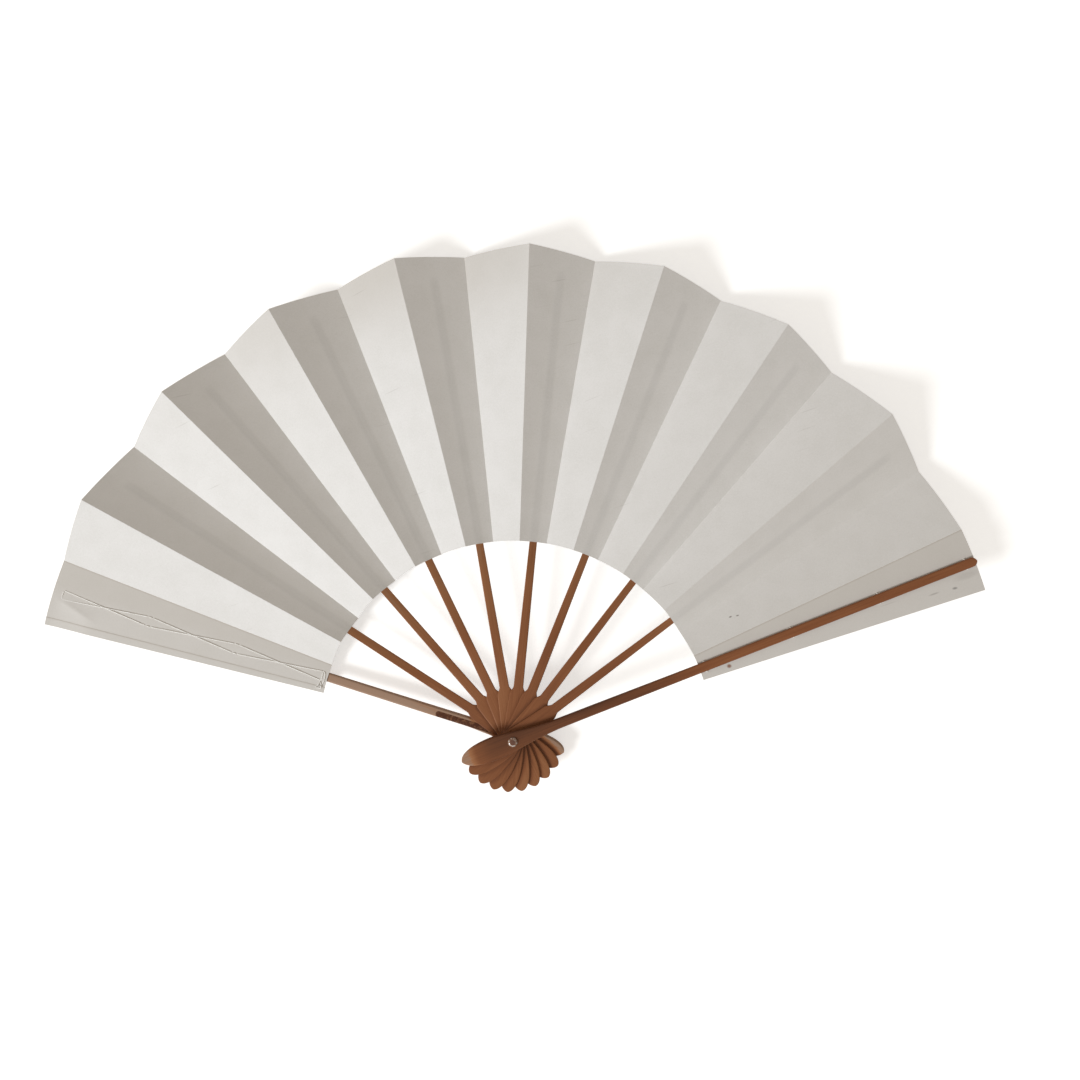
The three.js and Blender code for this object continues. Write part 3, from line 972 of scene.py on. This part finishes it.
@dataclass
class Sticks(Assembly):
    """The eight ribs and two guards, each a blade with a wide head and a rounded tail."""

    bamboo: Material
    # Each rib's tone, how much painted light brightens it towards the leaf where it twists,
    # and its painted shadow at head and tail
    looks: tuple[tuple[float, float, float, float], ...] = (
        (0.42, 0.36, 0.22, 0.20),
        (0.52, 0.30, 0.08, 0.24),
        (0.51, 0.30, 0.06, 0.26),
        (0.53, 0.30, 0.06, 0.28),
        (0.46, 0.17, 0.10, 0.15),
        (0.40, 0.20, 0.20, 0.18),
        (0.42, 0.14, 0.21, 0.16),
        (0.37, 0.17, 0.0, 0.12),
    )
    # Where the painted light on each rib rises towards the leaf, where the rib twists
    painted_light_span: Pair = (55.0, 95.0)
    rib_tail: Pair = (-8.0, -22.0)
    rib_tail_lift: float = 0.07
    guard_shadow_reach: float = 2.2
    guard_tone: float = 0.13
    # Where each change of the right guard's tone starts and ends, and how much it is
    guard_changes: tuple[Triple, ...] = (
        (64.0, 112.0, 0.31), (225.0, 258.0, -0.06), (-11.0, -20.0, 0.2), (-19.0, -24.5, 0.6),
    )
    # Painted shade across the right guard, darker towards the ribs, and where it starts and fades
    # out
    guard_lean: float = -0.022
    guard_lean_start: Pair = (-24.0, -6.0)
    guard_lean_end: Pair = (30.0, 90.0)
    rib_seed: float = 31.0
    guard_seed: float = 400.0
    thin: Pair = (84.0, 102.0)
    before_leaf: float = 1.0

    def rib_length(self, name: str, index: int, distance: Array) -> Piece:
        """Build a length of a rib, level at the rivet and twisted to its strip's slope in the leaf.

        Args:
            name: name of the piece.
            index: the rib's number, counted from the left guard.
            distance: its stations.

        Returns:
            The new piece.
        """
        tone, lift, head_shadow, tail_shadow = self.looks[index - 1]
        # Lighter towards the tail, and painted light that brightens the rib towards the leaf
        worn = self.rib_tail_lift * smooth_step(distance, *self.rib_tail)
        worn = worn + lift * smooth_step(distance, *self.painted_light_span)
        shade = StickShade(tone + worn, upper=RIB_PLAN, head_shadow=head_shadow, tail_shadow=tail_shadow)
        # The last rib takes a wider painted shadow from the right guard above it
        if index == SIZES.ribs:
            shade.upper, shade.head_reach = GUARD_PLAN, self.guard_shadow_reach
        thin = smooth_step(distance, *self.thin)
        rise = (SIZES.rib_thick + (SIZES.blade_thick - SIZES.rib_thick) * thin) / 2 - SIZES.crown
        middle = SIZES.rib_z(index) - SIZES.sag(distance)
        twist = ramp(distance, SIZES.twist_start, SIZES.leaf_inner) * SIZES.twist
        stick = Stick(
            RIB_PLAN, distance, middle - rise, middle + rise, twist, SIZES.angle(index), shade,
            self.rib_seed * index,
        )
        piece = stick.build(name, self.bamboo)
        self.place(piece, f"rib_{index}", f"rib_{index}", "smoked_bamboo")
        return piece

    def build_rib(self, index: int) -> None:
        """Build one rib: the stick up to the leaf, and the blade inside it.

        Args:
            index: its number, counted from the left guard.
        """
        stick, blade = RIB_PLAN.cut(SIZES.leaf_inner - self.before_leaf)
        self.rib_length(f"rib_{index}_bamboo", index, stick)
        piece = self.rib_length(f"rib_{index}_blade_bamboo", index, blade)
        self.flatten(piece, SIZES.rib_z(index))

    def build_guard(self, side: Side) -> None:
        """Build one guard, whose inner face falls away towards the leaf.

        Args:
            side: which guard.
        """
        distance = GUARD_PLAN.stations()
        recess_end = SIZES.leaf_inner - self.before_leaf
        fall = SIZES.guard_recess * ramp(distance, SIZES.twist_start, recess_end)
        inner = side.inner_z - side.value * (fall + SIZES.crown)
        outer = np.full_like(distance, side.outer_z + side.value * SIZES.crown)
        low, high = np.minimum(inner, outer), np.maximum(inner, outer)
        if side is Side.LEFT:
            # Paler bamboo, paler still on its inner face, with painted shade round the rivet and
            # painted shadow beside the first rib
            shade = StickShade(
                along=0.45, top=0.56, rivet=0.4, upper=RIB_PLAN, head_shadow=0.3, tail_shadow=0.75,
                tail_reach=2.4,
            )
        else:
            tone = self.guard_tone
            for start, end, amount in self.guard_changes:
                tone = tone + amount * smooth_step(distance, start, end)
            # Painted shade: darker on the side towards the ribs, near the rivet
            lean = self.guard_lean * (1 - smooth_step(distance, *self.guard_lean_end))
            shade = StickShade(tone, lean * smooth_step(distance, *self.guard_lean_start))
        seed = self.guard_seed * side.value
        stick = Stick(GUARD_PLAN, distance, low, high, 0 * distance, side.angle, shade, seed)
        piece = stick.build(f"guard_{side.word}_bamboo", self.bamboo)
        slot = side.pick("pale_bamboo", "smoked_bamboo")
        self.place(piece, side.body, f"guard_{side.word}", slot)

    def build(self) -> None:
        """Build all ten sticks."""
        for index in range(1, SIZES.ribs + 1):
            self.build_rib(index)
        for side in Side:
            self.build_guard(side)


@dataclass
class Leaf(Assembly):
    """The pleated paper leaf: strips on the ribs, strips that join them, and two flat ends."""

    paper: Material
    rows: int = 48
    # Strips on the ribs
    core_half: float = 4.2
    core_columns: int = 23
    flank_columns: int = 6
    ridge_half: float = 0.9
    ridge_ease: float = 2.3
    ridge_rise: float = 0.06
    ridge_fade: float = 3.0
    # Painted shade over the whole strip on each rib
    rib_shade: tuple[float, ...] = (0.32, 0.18, 0.04, 0.0, 0.0, 0.0, 0.02, 0.22)
    # Strips between the sticks, with painted shade at the rim in a bell round one direction
    fold_columns: int = 15
    # Painted shade over the whole of each strip between the sticks
    fold_shade: tuple[float, ...] = (0.0, 0.0, 0.05, 0.0, 0.0, 0.0, 0.02, 0.06, 0.16)
    rim_shade: float = 0.6
    rim_reach: float = 32.0
    rim_top_deg: float = 102.0
    rim_spread_deg: float = 24.0
    # End strips, whose columns crowd at the crease and at the hem's seam
    end_rows: int = 150
    end_columns: int = 44
    crease_columns: tuple[float, ...] = (0.0, 0.3, 0.7, 1.2)
    crease_gap: float = 0.5
    seam_columns: tuple[float, ...] = (-0.3, -0.1, 0.1, 0.3, 1.2, 2.4)
    seam_gap: float = 0.7
    # Even darkening of the end strips, painted shade on their inner side, painted shade along the
    # crease and a painted shadow along the hem's seam
    end_darkening: float = 0.48
    inner_shade: float = 0.16
    inner_shade_at: Pair = (3.0, -6.0)
    line_shade: float = 0.45
    crease_line: float = 0.5
    seam_line: float = 0.25
    seam_half: float = 0.1
    seam_inner: float = 3.0
    seam_outer: float = 4.2
    hem: float = 2.0
    hem_rise: float = 0.12
    # The left end's bent corner
    bend_at: Pair = (257.0, 2.5)
    bend_dir: Pair = (0.29, 0.957)
    bend_slope: float = 0.09
    bend_soft: float = 0.6
    bend_rise: float = 0.65
    bend_width: float = 4.0
    bend_middle: float = 12.0
    bend_half: float = 10.0

    def radii(self, rows: int) -> Array:
        """Distances from the rivet along a strip, as a column."""
        return np.linspace(SIZES.leaf_inner, SIZES.leaf_outer, rows)[:, None]

    def shell(
        self, node: str, body: str, middle: Array, half: Array, ridge: Array, soil: Array
    ) -> Piece:
        """Close a sheet: an upper and a lower grid half a thickness away, and walls round the rim.

        Args:
            node: the strip's node in the solid model.
            body: the moving body that it rides on.
            middle: points of the sheet's middle, rows outwards and columns anticlockwise.
            half: half its thickness.
            ridge: how much of the rib shows through, from 0 to 1.
            darkening: how far the paper is greyed, from 0 to 1; most of it is painted shade.

        Returns:
            The new piece.
        """
        rows, columns, _ = middle.shape
        count = rows * columns
        rise = half[..., None] * np.array(UP)
        index = np.arange(count).reshape(rows, columns)
        rim = np.concatenate([index[:-1, 0], index[-1, :-1], index[:0:-1, -1], index[0, :0:-1]])
        ahead = np.roll(rim, -1)
        walls = np.stack([rim + count, ahead + count, ahead, rim], axis=-1)
        lower = grid_faces(rows, columns, count, flip=True)
        piece = add_piece(
            f"{node}_paper",
            np.stack([middle + rise, middle - rise]).reshape(-1, 3),
            np.concatenate([grid_faces(rows, columns), lower, walls]),
            self.paper,
            {"ridge": np.tile(ridge.reshape(-1), 2), "soil": np.tile(soil.reshape(-1), 2)},
            sharp_deg=35,
            weld=False,
        )
        self.place(piece, body, node, "leaf_paper")
        return piece

    def build_rib_strip(self, index: int) -> None:
        """Build the strip on a rib: two planes that slope and dip to the rib, thicker over it.

        Args:
            index: the rib's number.
        """
        radius = self.radii(self.rows)
        fold = radius * np.sin(SIZES.quarter)
        core = np.linspace(-self.core_half, self.core_half, self.core_columns)
        share = np.linspace(0, 1, self.flank_columns + 1)[1:]
        flank = self.core_half + (fold - self.core_half) * share
        core = np.tile(core, (radius.size, 1))
        across = np.concatenate([-flank[:, ::-1], core, flank], axis=1)
        along = np.sqrt(radius**2 - across**2)
        over = 1 - smooth_step(np.abs(across), self.ridge_half, self.ridge_half + self.ridge_ease)
        tip = RIB_PLAN.tip_radius
        over = over * (1 - smooth_step(radius, tip, tip + self.ridge_fade))
        level = SIZES.rib_z(index)
        dip = SIZES.sag(radius) * np.maximum(1 - np.abs(across) / fold, 0)
        middle = xyz(along, across, level + SIZES.twist * across - dip)
        middle = turned(middle, SIZES.angle(index))
        half = SIZES.paper_half + self.ridge_rise * over
        # Painted shade over the whole strip
        soil = np.full_like(over, self.rib_shade[index - 1])
        piece = self.shell(f"leaf_rib_{index}", f"rib_{index}", middle, half, over, soil)
        self.flatten(piece, level)

    def crease_z(self, index: int, sign: int, radius: Array) -> Array:
        """Height of the fold beside a stick.

        Args:
            index: the stick's number, counted from the left guard.
            sign: 1 for the fold on its left and -1 for the fold on its right.
            radius: distances from the rivet.

        Returns:
            Heights, level beside a guard and rising with the radius beside a rib.
        """
        if index in (0, SIZES.ribs + 1):
            return np.full_like(radius, (Side.RIGHT if index else Side.LEFT).leaf_z)
        return SIZES.rib_z(index) + sign * SIZES.pleat_half * radius / SIZES.leaf_outer

    def build_fold_strip(self, number: int) -> None:
        """Build the strip between two sticks: straight lines from the low fold to the high one.

        Args:
            number: its number, counted from the left.
        """
        radius = self.radii(self.rows)
        left = SIZES.angle(number - 1) - SIZES.quarter
        right = SIZES.angle(number) + SIZES.quarter
        share = np.linspace(0, 1, self.fold_columns)
        angle = right + share * (left - right)
        high = self.crease_z(number, 1, radius)
        low = self.crease_z(number - 1, -1, radius)
        middle = xyz(radius * np.cos(angle), radius * np.sin(angle), high + share * (low - high))
        aside = angle - np.radians(self.rim_top_deg)
        # Painted shade at the rim in a bell round one direction, on top of the strip's own painted
        # shade
        soil = self.rim_shade * bell(SIZES.leaf_outer - radius, self.rim_reach)
        soil = soil * bell(aside, np.radians(self.rim_spread_deg)) + self.fold_shade[number - 1]
        half = np.full_like(soil, SIZES.paper_half)
        piece = self.shell(f"leaf_fold_{number}", f"fold_{number}", middle, half, 0 * soil, soil)
        self.flatten(piece, SIZES.rib_z(number) - SIZES.pitch / 2)

    def bend(self, along: Array, across: Array) -> Array:
        """Height of the bent corner, which falls past a slanting crease with a low ridge along it.

        Args:
            along: distances from the rivet along the guard.
            across: distances from the guard's middle.

        Returns:
            What the bend adds to the strip's height.
        """
        ahead, aside = along - self.bend_at[0], across - self.bend_at[1]
        past = ahead * self.bend_dir[0] + aside * self.bend_dir[1]
        run = aside * self.bend_dir[0] - ahead * self.bend_dir[1]
        fall = self.bend_slope * np.log1p(np.exp(past / self.bend_soft)) * self.bend_soft
        ridge = self.bend_rise * bell(np.abs(past), self.bend_width, power=1)
        return (ridge - fall) * bell(run - self.bend_middle, self.bend_half, power=4)

    def build_end_strip(self, side: Side) -> None:
        """Build the flat strip along a guard, from the first fold to the free edge.

        The left end is wider by a pasted hem, whose seam runs beside the free edge, and its outer
        corner is bent down.

        Args:
            side: which guard.
        """
        radius = self.radii(self.end_rows)
        free = np.radians(SIZES.end_strip_deg) * radius + side.pick(self.hem, 0.0)
        outward = ramp(radius, SIZES.leaf_inner, SIZES.leaf_outer)
        seam = free - self.seam_inner - (self.seam_outer - self.seam_inner) * outward
        inner = -SIZES.quarter * radius
        at_crease = inner + np.array(self.crease_columns)
        begin = at_crease[:, -1:] + self.crease_gap
        last = side.pick(seam, free) - self.seam_gap
        body = begin + np.linspace(0, 1, self.end_columns) * (last - begin)
        border = side.pick([seam + np.array(self.seam_columns)], [])
        arc = np.concatenate([at_crease, body, *border, free], axis=1)[:, :: side.value]
        away = arc / radius
        height, raised, line = np.full_like(arc, side.leaf_z), 0 * arc, 0 * arc
        if side is Side.LEFT:
            height = height + self.bend(radius * np.cos(away), radius * np.sin(away))
            raised = smooth_step(arc - seam, -self.seam_half, self.seam_half)
            line = bell(arc - seam, self.seam_line)
        # Even darkening, painted shade on the inner side, and painted shade along the crease and
        # the seam
        crease = bell(arc - inner, self.crease_line)
        soil = self.end_darkening + self.inner_shade * smooth_step(arc, *self.inner_shade_at)
        soil = soil + self.line_shade * (line + crease)
        angle = side.angle + side.value * away
        middle = xyz(radius * np.cos(angle), radius * np.sin(angle), height)
        half = SIZES.paper_half + self.hem_rise * raised
        self.shell(f"leaf_end_{side.word}", side.body, middle, half, 0 * soil, soil)

    def build(self) -> None:
        """Build every strip of the leaf."""
        for index in range(1, SIZES.ribs + 1):
            self.build_rib_strip(index)
        for number in range(1, SIZES.ribs + 2):
            self.build_fold_strip(number)
        for side in Side:
            self.build_end_strip(side)


@dataclass
class Lacing(Assembly):
    """The thread that ties each end of the leaf to its guard, in long crossings.

    Paths run along and across a guard, with heights above the thread's place on the paper.
    """

    thread: Material
    radius: float = 0.25
    sides: int = 8
    twist_mm: float = 1.1
    side_hint: Triple = (0.13, 0.97, 0.21)
    stitches: int = 4
    outer_margin: float = 5.5
    inner_margin: float = 3.0
    run: float = 1.3
    bedded: float = 0.55
    strand_steps: int = 40
    slack: float = 0.06
    sink: float = 1.0
    sink_reach: float = 0.35
    leg_steps: int = 12
    leg_off: float = 0.1
    leg_swell: float = 0.12
    knot_steps: int = 90
    knot_open: float = 0.15
    knot_reach: float = 1.4
    knot_wide: float = 1.3
    knot_off: Pair = (5.6, 4.3)
    lead_short: float = 1.0
    lead_slant: float = 0.3
    loop_steps: int = 40
    loop_reach: float = 1.7
    loop_rise: float = 0.05

    def tube(self, path: Array) -> tuple[Array, Faces, Array, Array]:
        """Carry a circle along a path that never follows the side hint.

        The ring at each point lies across the path's direction. Both ends are closed by shrinking.

        Args:
            path: points of the path.

        Returns:
            Points, faces, the length in turns of the twist, and the direction round the thread.
        """
        ahead = np.gradient(path, axis=0)
        ahead /= np.linalg.norm(ahead, axis=1, keepdims=True)
        first = np.cross(ahead, np.array(self.side_hint))
        first /= np.linalg.norm(first, axis=1, keepdims=True)
        second = np.cross(ahead, first)
        radius = np.full((len(path), 1, 1), self.radius)
        radius[[0, -1]] = POINT
        turn = np.linspace(0, 2 * np.pi, self.sides + 1)
        around = xyz(np.cos(turn), np.sin(turn), 0)
        ring = path[:, None, :] + radius * around[None, :, :1] * first[:, None, :]
        ring = ring + radius * around[None, :, 1:2] * second[:, None, :]
        stretch = np.linalg.norm(np.diff(path, axis=0), axis=1)
        lay = np.concatenate([[0], np.cumsum(stretch)]) / self.twist_mm
        faces = grid_faces(len(path), turn.size, flip=True)
        around = np.tile(around, (len(path), 1))
        return ring.reshape(-1, 3), faces, np.repeat(lay, turn.size), around

    def strand(self, line: tuple[float, float, float, float]) -> Array:
        """One strand, with a slight slack in the middle, whose ends dive through the paper.

        Args:
            line: along and across where it comes up and where it goes down.

        Returns:
            The path.
        """
        start, end = np.reshape(line, (2, 2))
        share = (1 - np.cos(np.linspace(0, np.pi, self.strand_steps))) / 2
        x, y = (start + share[:, None] * (end - start)).T
        from_end = np.minimum(share, 1 - share) * np.linalg.norm(end - start)
        dive = self.sink * bell(from_end, self.sink_reach)
        return xyz(x, y, self.slack * np.sin(np.pi * share) - dive)

    def leg(self, along: float, sign: int, low: float) -> Array:
        """The thread at the guard's edge, which rises to the paper and swells outwards as a sine.

        Args:
            along: distance from the rivet.
            sign: 1 or -1 for the edge that it passes.
            low: height at which it starts.

        Returns:
            The path.
        """
        swell = self.leg_swell * np.sin(np.linspace(0, np.pi, self.leg_steps))
        off = sign * (SIZES.guard_half + self.leg_off + swell)
        return xyz(along, off, np.linspace(low, 0, self.leg_steps))

    def knot(self, along: float, across: float) -> Array:
        """The knot at the inner end: a thread along a trefoil, which is how an overhand knot runs.

        Args:
            along: distance from the rivet.
            across: distance from the guard's middle.

        Returns:
            The path.
        """
        turn = np.linspace(self.knot_open, 2 * np.pi - self.knot_open, self.knot_steps)
        reach = self.knot_reach / 3
        return xyz(
            along + reach * (np.sin(turn) + 2 * np.sin(2 * turn)),
            across + self.knot_wide * reach * (np.cos(turn) - 2 * np.cos(2 * turn)),
            self.radius * (1 - np.sin(3 * turn)),
        )

    def loop(self, along: float, off: float, facing: int) -> Array:
        """The thread's loose end: half an ellipse from the last stitch to the knot.

        Args:
            along: distance from the rivet.
            off: distance of the knot from the guard's middle.
            facing: 1 where the paper's outer face looks up, and -1 where it looks down.

        Returns:
            The path.
        """
        turn = np.linspace(0, np.pi, self.loop_steps)
        middle, swing = (off - SIZES.guard_half) / 2, (off + SIZES.guard_half) / 2
        across = facing * (middle - swing * np.cos(turn))
        return xyz(along - self.loop_reach * np.sin(turn), across, self.loop_rise * np.sin(turn))

    def build_side(self, side: Side) -> None:
        """Build one guard's lacing: crossings, a stitch at each end, wraps at the edges and a knot.

        Args:
            side: which guard.
        """
        facing, edge, off = side.value, SIZES.guard_half, side.pick(*self.knot_off)
        top = side.leaf_z + facing * (SIZES.paper_half + self.bedded * self.radius)
        first = SIZES.leaf_outer - self.outer_margin
        last = SIZES.leaf_inner + self.inner_margin
        stations = np.linspace(first, last, self.stitches)
        runs = np.array([0, *[self.run] * (self.stitches - 2), 0])
        lines: list[tuple[float, float, float, float]] = []
        for near, far in zip(stations[1:] + runs[1:], stations[:-1] - runs[:-1]):
            lines += [(far, edge, near, -edge), (far, -edge, near, edge)]
        for station in stations[1:-1]:
            lines += [(station + self.run, y, station - self.run, y) for y in (edge, -edge)]
        lines += [(first, -edge, first, edge), (last, -edge, last, edge)]
        to_knot = last + self.lead_slant, facing * (off - self.lead_short)
        lines += [(last, facing * edge, *to_knot)]
        low = (side.outer_z + side.inner_z - facing * SIZES.guard_recess) / 2
        depth = facing * (low - top)
        paths = [self.strand(line) for line in lines]
        paths += [self.leg(station, sign, depth) for station in stations for sign in (-1, 1)]
        paths += [self.knot(last, facing * off), self.loop(last, off, facing)]
        tubes = [self.tube(path * (1, 1, facing) + (0, 0, top)) for path in paths]
        points, faces, lays, arounds = zip(*tubes)
        firsts = np.cumsum([0] + [len(some) for some in points[:-1]])
        piece = add_piece(
            f"lacing_{side.word}_thread",
            turned(np.concatenate(points), side.angle),
            np.concatenate([quads + first for quads, first in zip(faces, firsts)]),
            self.thread,
            {"lay": np.concatenate(lays), "around": np.concatenate(arounds)},
            sharp_deg=80,
        )
        self.place(piece, side.body, f"lacing_{side.word}", "white_thread")

    def build(self) -> None:
        """Build both lacings."""
        for side in Side:
            self.build_side(side)


@dataclass
class RivetAndWeights(Assembly):
    """The rivet that the sticks turn on, and the balance weights let into the guards."""

    amber: Material
    lead: Material
    pin_radius: float = 1.5
    head_radius: float = 2.5
    flat_radius: float = 1.7
    back_share: float = 0.85
    head_steps: int = 14
    round_steps: int = 49
    weight_ends: Pair = (12.0, 42.0)
    weight_half: float = 1.6
    weight_offset: float = 0.7
    weight_thick: float = 1.2
    weight_steps: int = 17
    # Share of the half width and of the thickness at each ring of a weight
    weight_rings: tuple[Pair, ...] = (
        (0.0, 0.0), (0.9, 0.0), (0.97, 0.02), (1.0, 0.08),
        (1.0, 0.92), (0.97, 0.98), (0.9, 1.0), (0.0, 1.0),
    )
    proud: float = 0.06

    def build_rivet(self) -> None:
        """Build the rivet: a profile of two rounded heads and a shank, turned round the axis."""
        low = Side.RIGHT.outer_z + SIZES.run_gap
        turn = np.linspace(0, np.pi / 2, self.head_steps)
        wide = self.flat_radius + (self.head_radius - self.flat_radius) * np.sin(turn)
        back = np.stack([wide, SIZES.head_height * self.back_share * (1 - np.cos(turn))], axis=-1)
        dome = [self.head_radius * np.cos(turn), low + SIZES.head_height * np.sin(turn)]
        front = np.stack(dome, axis=-1)
        front[-1, 0] = POINT
        shank = [
            [self.head_radius, SIZES.head_height],
            [self.pin_radius, SIZES.head_height],
            [self.pin_radius, low],
        ]
        profile = np.concatenate([[[POINT, 0.0]], back, shank, front])
        out, up = profile[:, :1], profile[:, 1:]
        spin = np.linspace(0, 2 * np.pi, self.round_steps)
        points = xyz(out * np.cos(spin), out * np.sin(spin), up).reshape(-1, 3)
        faces = grid_faces(len(profile), spin.size, flip=True)
        rim = np.hypot(points[:, 0], points[:, 1]) / self.head_radius
        piece = add_piece("rivet_amber", points, faces, self.amber, {"rim": rim})
        self.place(piece, "left_guard", "rivet", "rivet_plastic")

    def build_weight(self, side: Side) -> None:
        """Build one weight: a round-ended strip with eased edges, its rings shrunk to a line.

        Args:
            side: the guard that holds it.
        """
        turn = np.linspace(0, np.pi, self.weight_steps)
        near = np.stack([-np.sin(turn), np.cos(turn)], axis=-1)
        outward = np.concatenate([near, -near, near[:1]])
        centre = np.repeat([*self.weight_ends, self.weight_ends[0]], [turn.size, turn.size, 1])
        shrink, depth = np.array(self.weight_rings).T[..., None]
        size = shrink * self.weight_half
        face = side.inner_z + side.value * self.proud
        points = xyz(
            centre + size * outward[:, 0],
            side.value * self.weight_offset + size * outward[:, 1],
            face - side.value * (depth * self.weight_thick),
        )
        faces = grid_faces(*points.shape[:2], flip=side is Side.RIGHT)
        points = turned(points.reshape(-1, 3), side.angle)
        piece = add_piece(f"weight_{side.word}_lead", points, faces, self.lead)
        self.place(piece, side.body, f"weight_{side.word}", "lead_strip")

    def build(self) -> None:
        """Build the rivet and both weights."""
        self.build_rivet()
        for side in Side:
            self.build_weight(side)


@dataclass
class Studio:
    """Floor, soft light from the left, and the camera straight above."""

    camera_at: Triple = (17.94, 104.86, 500.0)
    roll: float = -0.0349  # radians
    focal_px: float = 920.0
    image_px: float = 1080.0
    sensor_mm: float = 36.0
    clip_m: Pair = (0.01, 20.0)
    key_at: Triple = (-1948.0, -1314.0, 1740.0)
    key_aim: Triple = (0.0, 120.0, 0.0)
    key_size: float = 870.0
    key_power: float = 61.5
    key_colour: str = "f4f9ff"
    fill: float = 0.39
    fill_colour: str = "fff5e8"
    floor_reach: float = 4000.0
    floor_drop: float = 0.2

    def build_floor(self, low: float) -> None:
        """Lay the floor just under the fan.

        Args:
            low: height of the fan's lowest point, in metres.
        """
        x, y = self.floor_reach * np.array([[-1, 1, 1, -1], [-1, -1, 1, 1]])
        corners = xyz(x, y, low / MM - self.floor_drop)
        floor = add_piece("floor", corners, np.array([[0, 1, 2, 3]]), PaleFloor().build())
        floor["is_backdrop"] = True

    def build_light(self) -> None:
        """Hang one soft lamp beyond the fan's lower left, and let a warm sky fill the shade."""
        lamp = bpy.data.lights.new("key", "AREA")
        lamp.shape = "DISK"
        lamp.size = self.key_size * MM
        lamp.energy = self.key_power
        lamp.color = linear(self.key_colour)[:3]
        key = bpy.data.objects.new("key", lamp)
        at, aim = Vector(self.key_at), Vector(self.key_aim)
        key.location = at * MM
        key.rotation_mode = "QUATERNION"
        key.rotation_quaternion = (aim - at).to_track_quat("-Z", "Y")
        bpy.context.scene.collection.objects.link(key)
        world = bpy.data.worlds.new("soft_sky")
        node = fresh_nodes(world)
        warm = node("Background", {"Color": linear(self.fill_colour), "Strength": self.fill})
        white = node("Background", {"Color": WHITE, "Strength": 1.0})
        both = node("MixShader", {0: seen_rays(node), 1: warm, 2: white})
        node("OutputWorld", {"Surface": both})
        bpy.context.scene.world = world

    def build_camera(self) -> None:
        """Place the camera straight above, turned a little, with the photograph's field of view."""
        lens = bpy.data.cameras.new("camera")
        lens.sensor_width = self.sensor_mm
        lens.lens = self.sensor_mm * self.focal_px / self.image_px
        lens.clip_start, lens.clip_end = self.clip_m
        camera = bpy.data.objects.new("camera", lens)
        camera.location = Vector(self.camera_at) * MM
        camera.rotation_euler = (0.0, 0.0, self.roll)
        bpy.context.scene.collection.objects.link(camera)
        bpy.context.scene.camera = camera

    def build(self, low: float) -> None:
        """Set up floor, light, camera and a plain view transform.

        Args:
            low: height of the fan's lowest point, in metres.
        """
        bpy.context.scene.view_settings.view_transform = "Standard"
        self.build_floor(low)
        self.build_light()
        self.build_camera()


def main() -> None:
    """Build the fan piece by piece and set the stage."""
    logging.basicConfig(level=logging.INFO, format="%(name)s: %(message)s")
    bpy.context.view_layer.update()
    sticks = Sticks(SmokedBamboo().build())
    leaf = Leaf(LeafPaper().build())
    lacing = Lacing(TwistedThread().build())
    fittings = RivetAndWeights(AmberPlastic().build(), LacqueredLead().build())
    for assembly in (sticks, leaf, lacing, fittings):
        assembly.build()
        for piece in assembly.pieces:
            LOG.info("%s: %d faces", piece.name, len(piece.data.polygons))
    low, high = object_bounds()
    Studio().build(low.z)


if __name__ == "__main__":
    main()
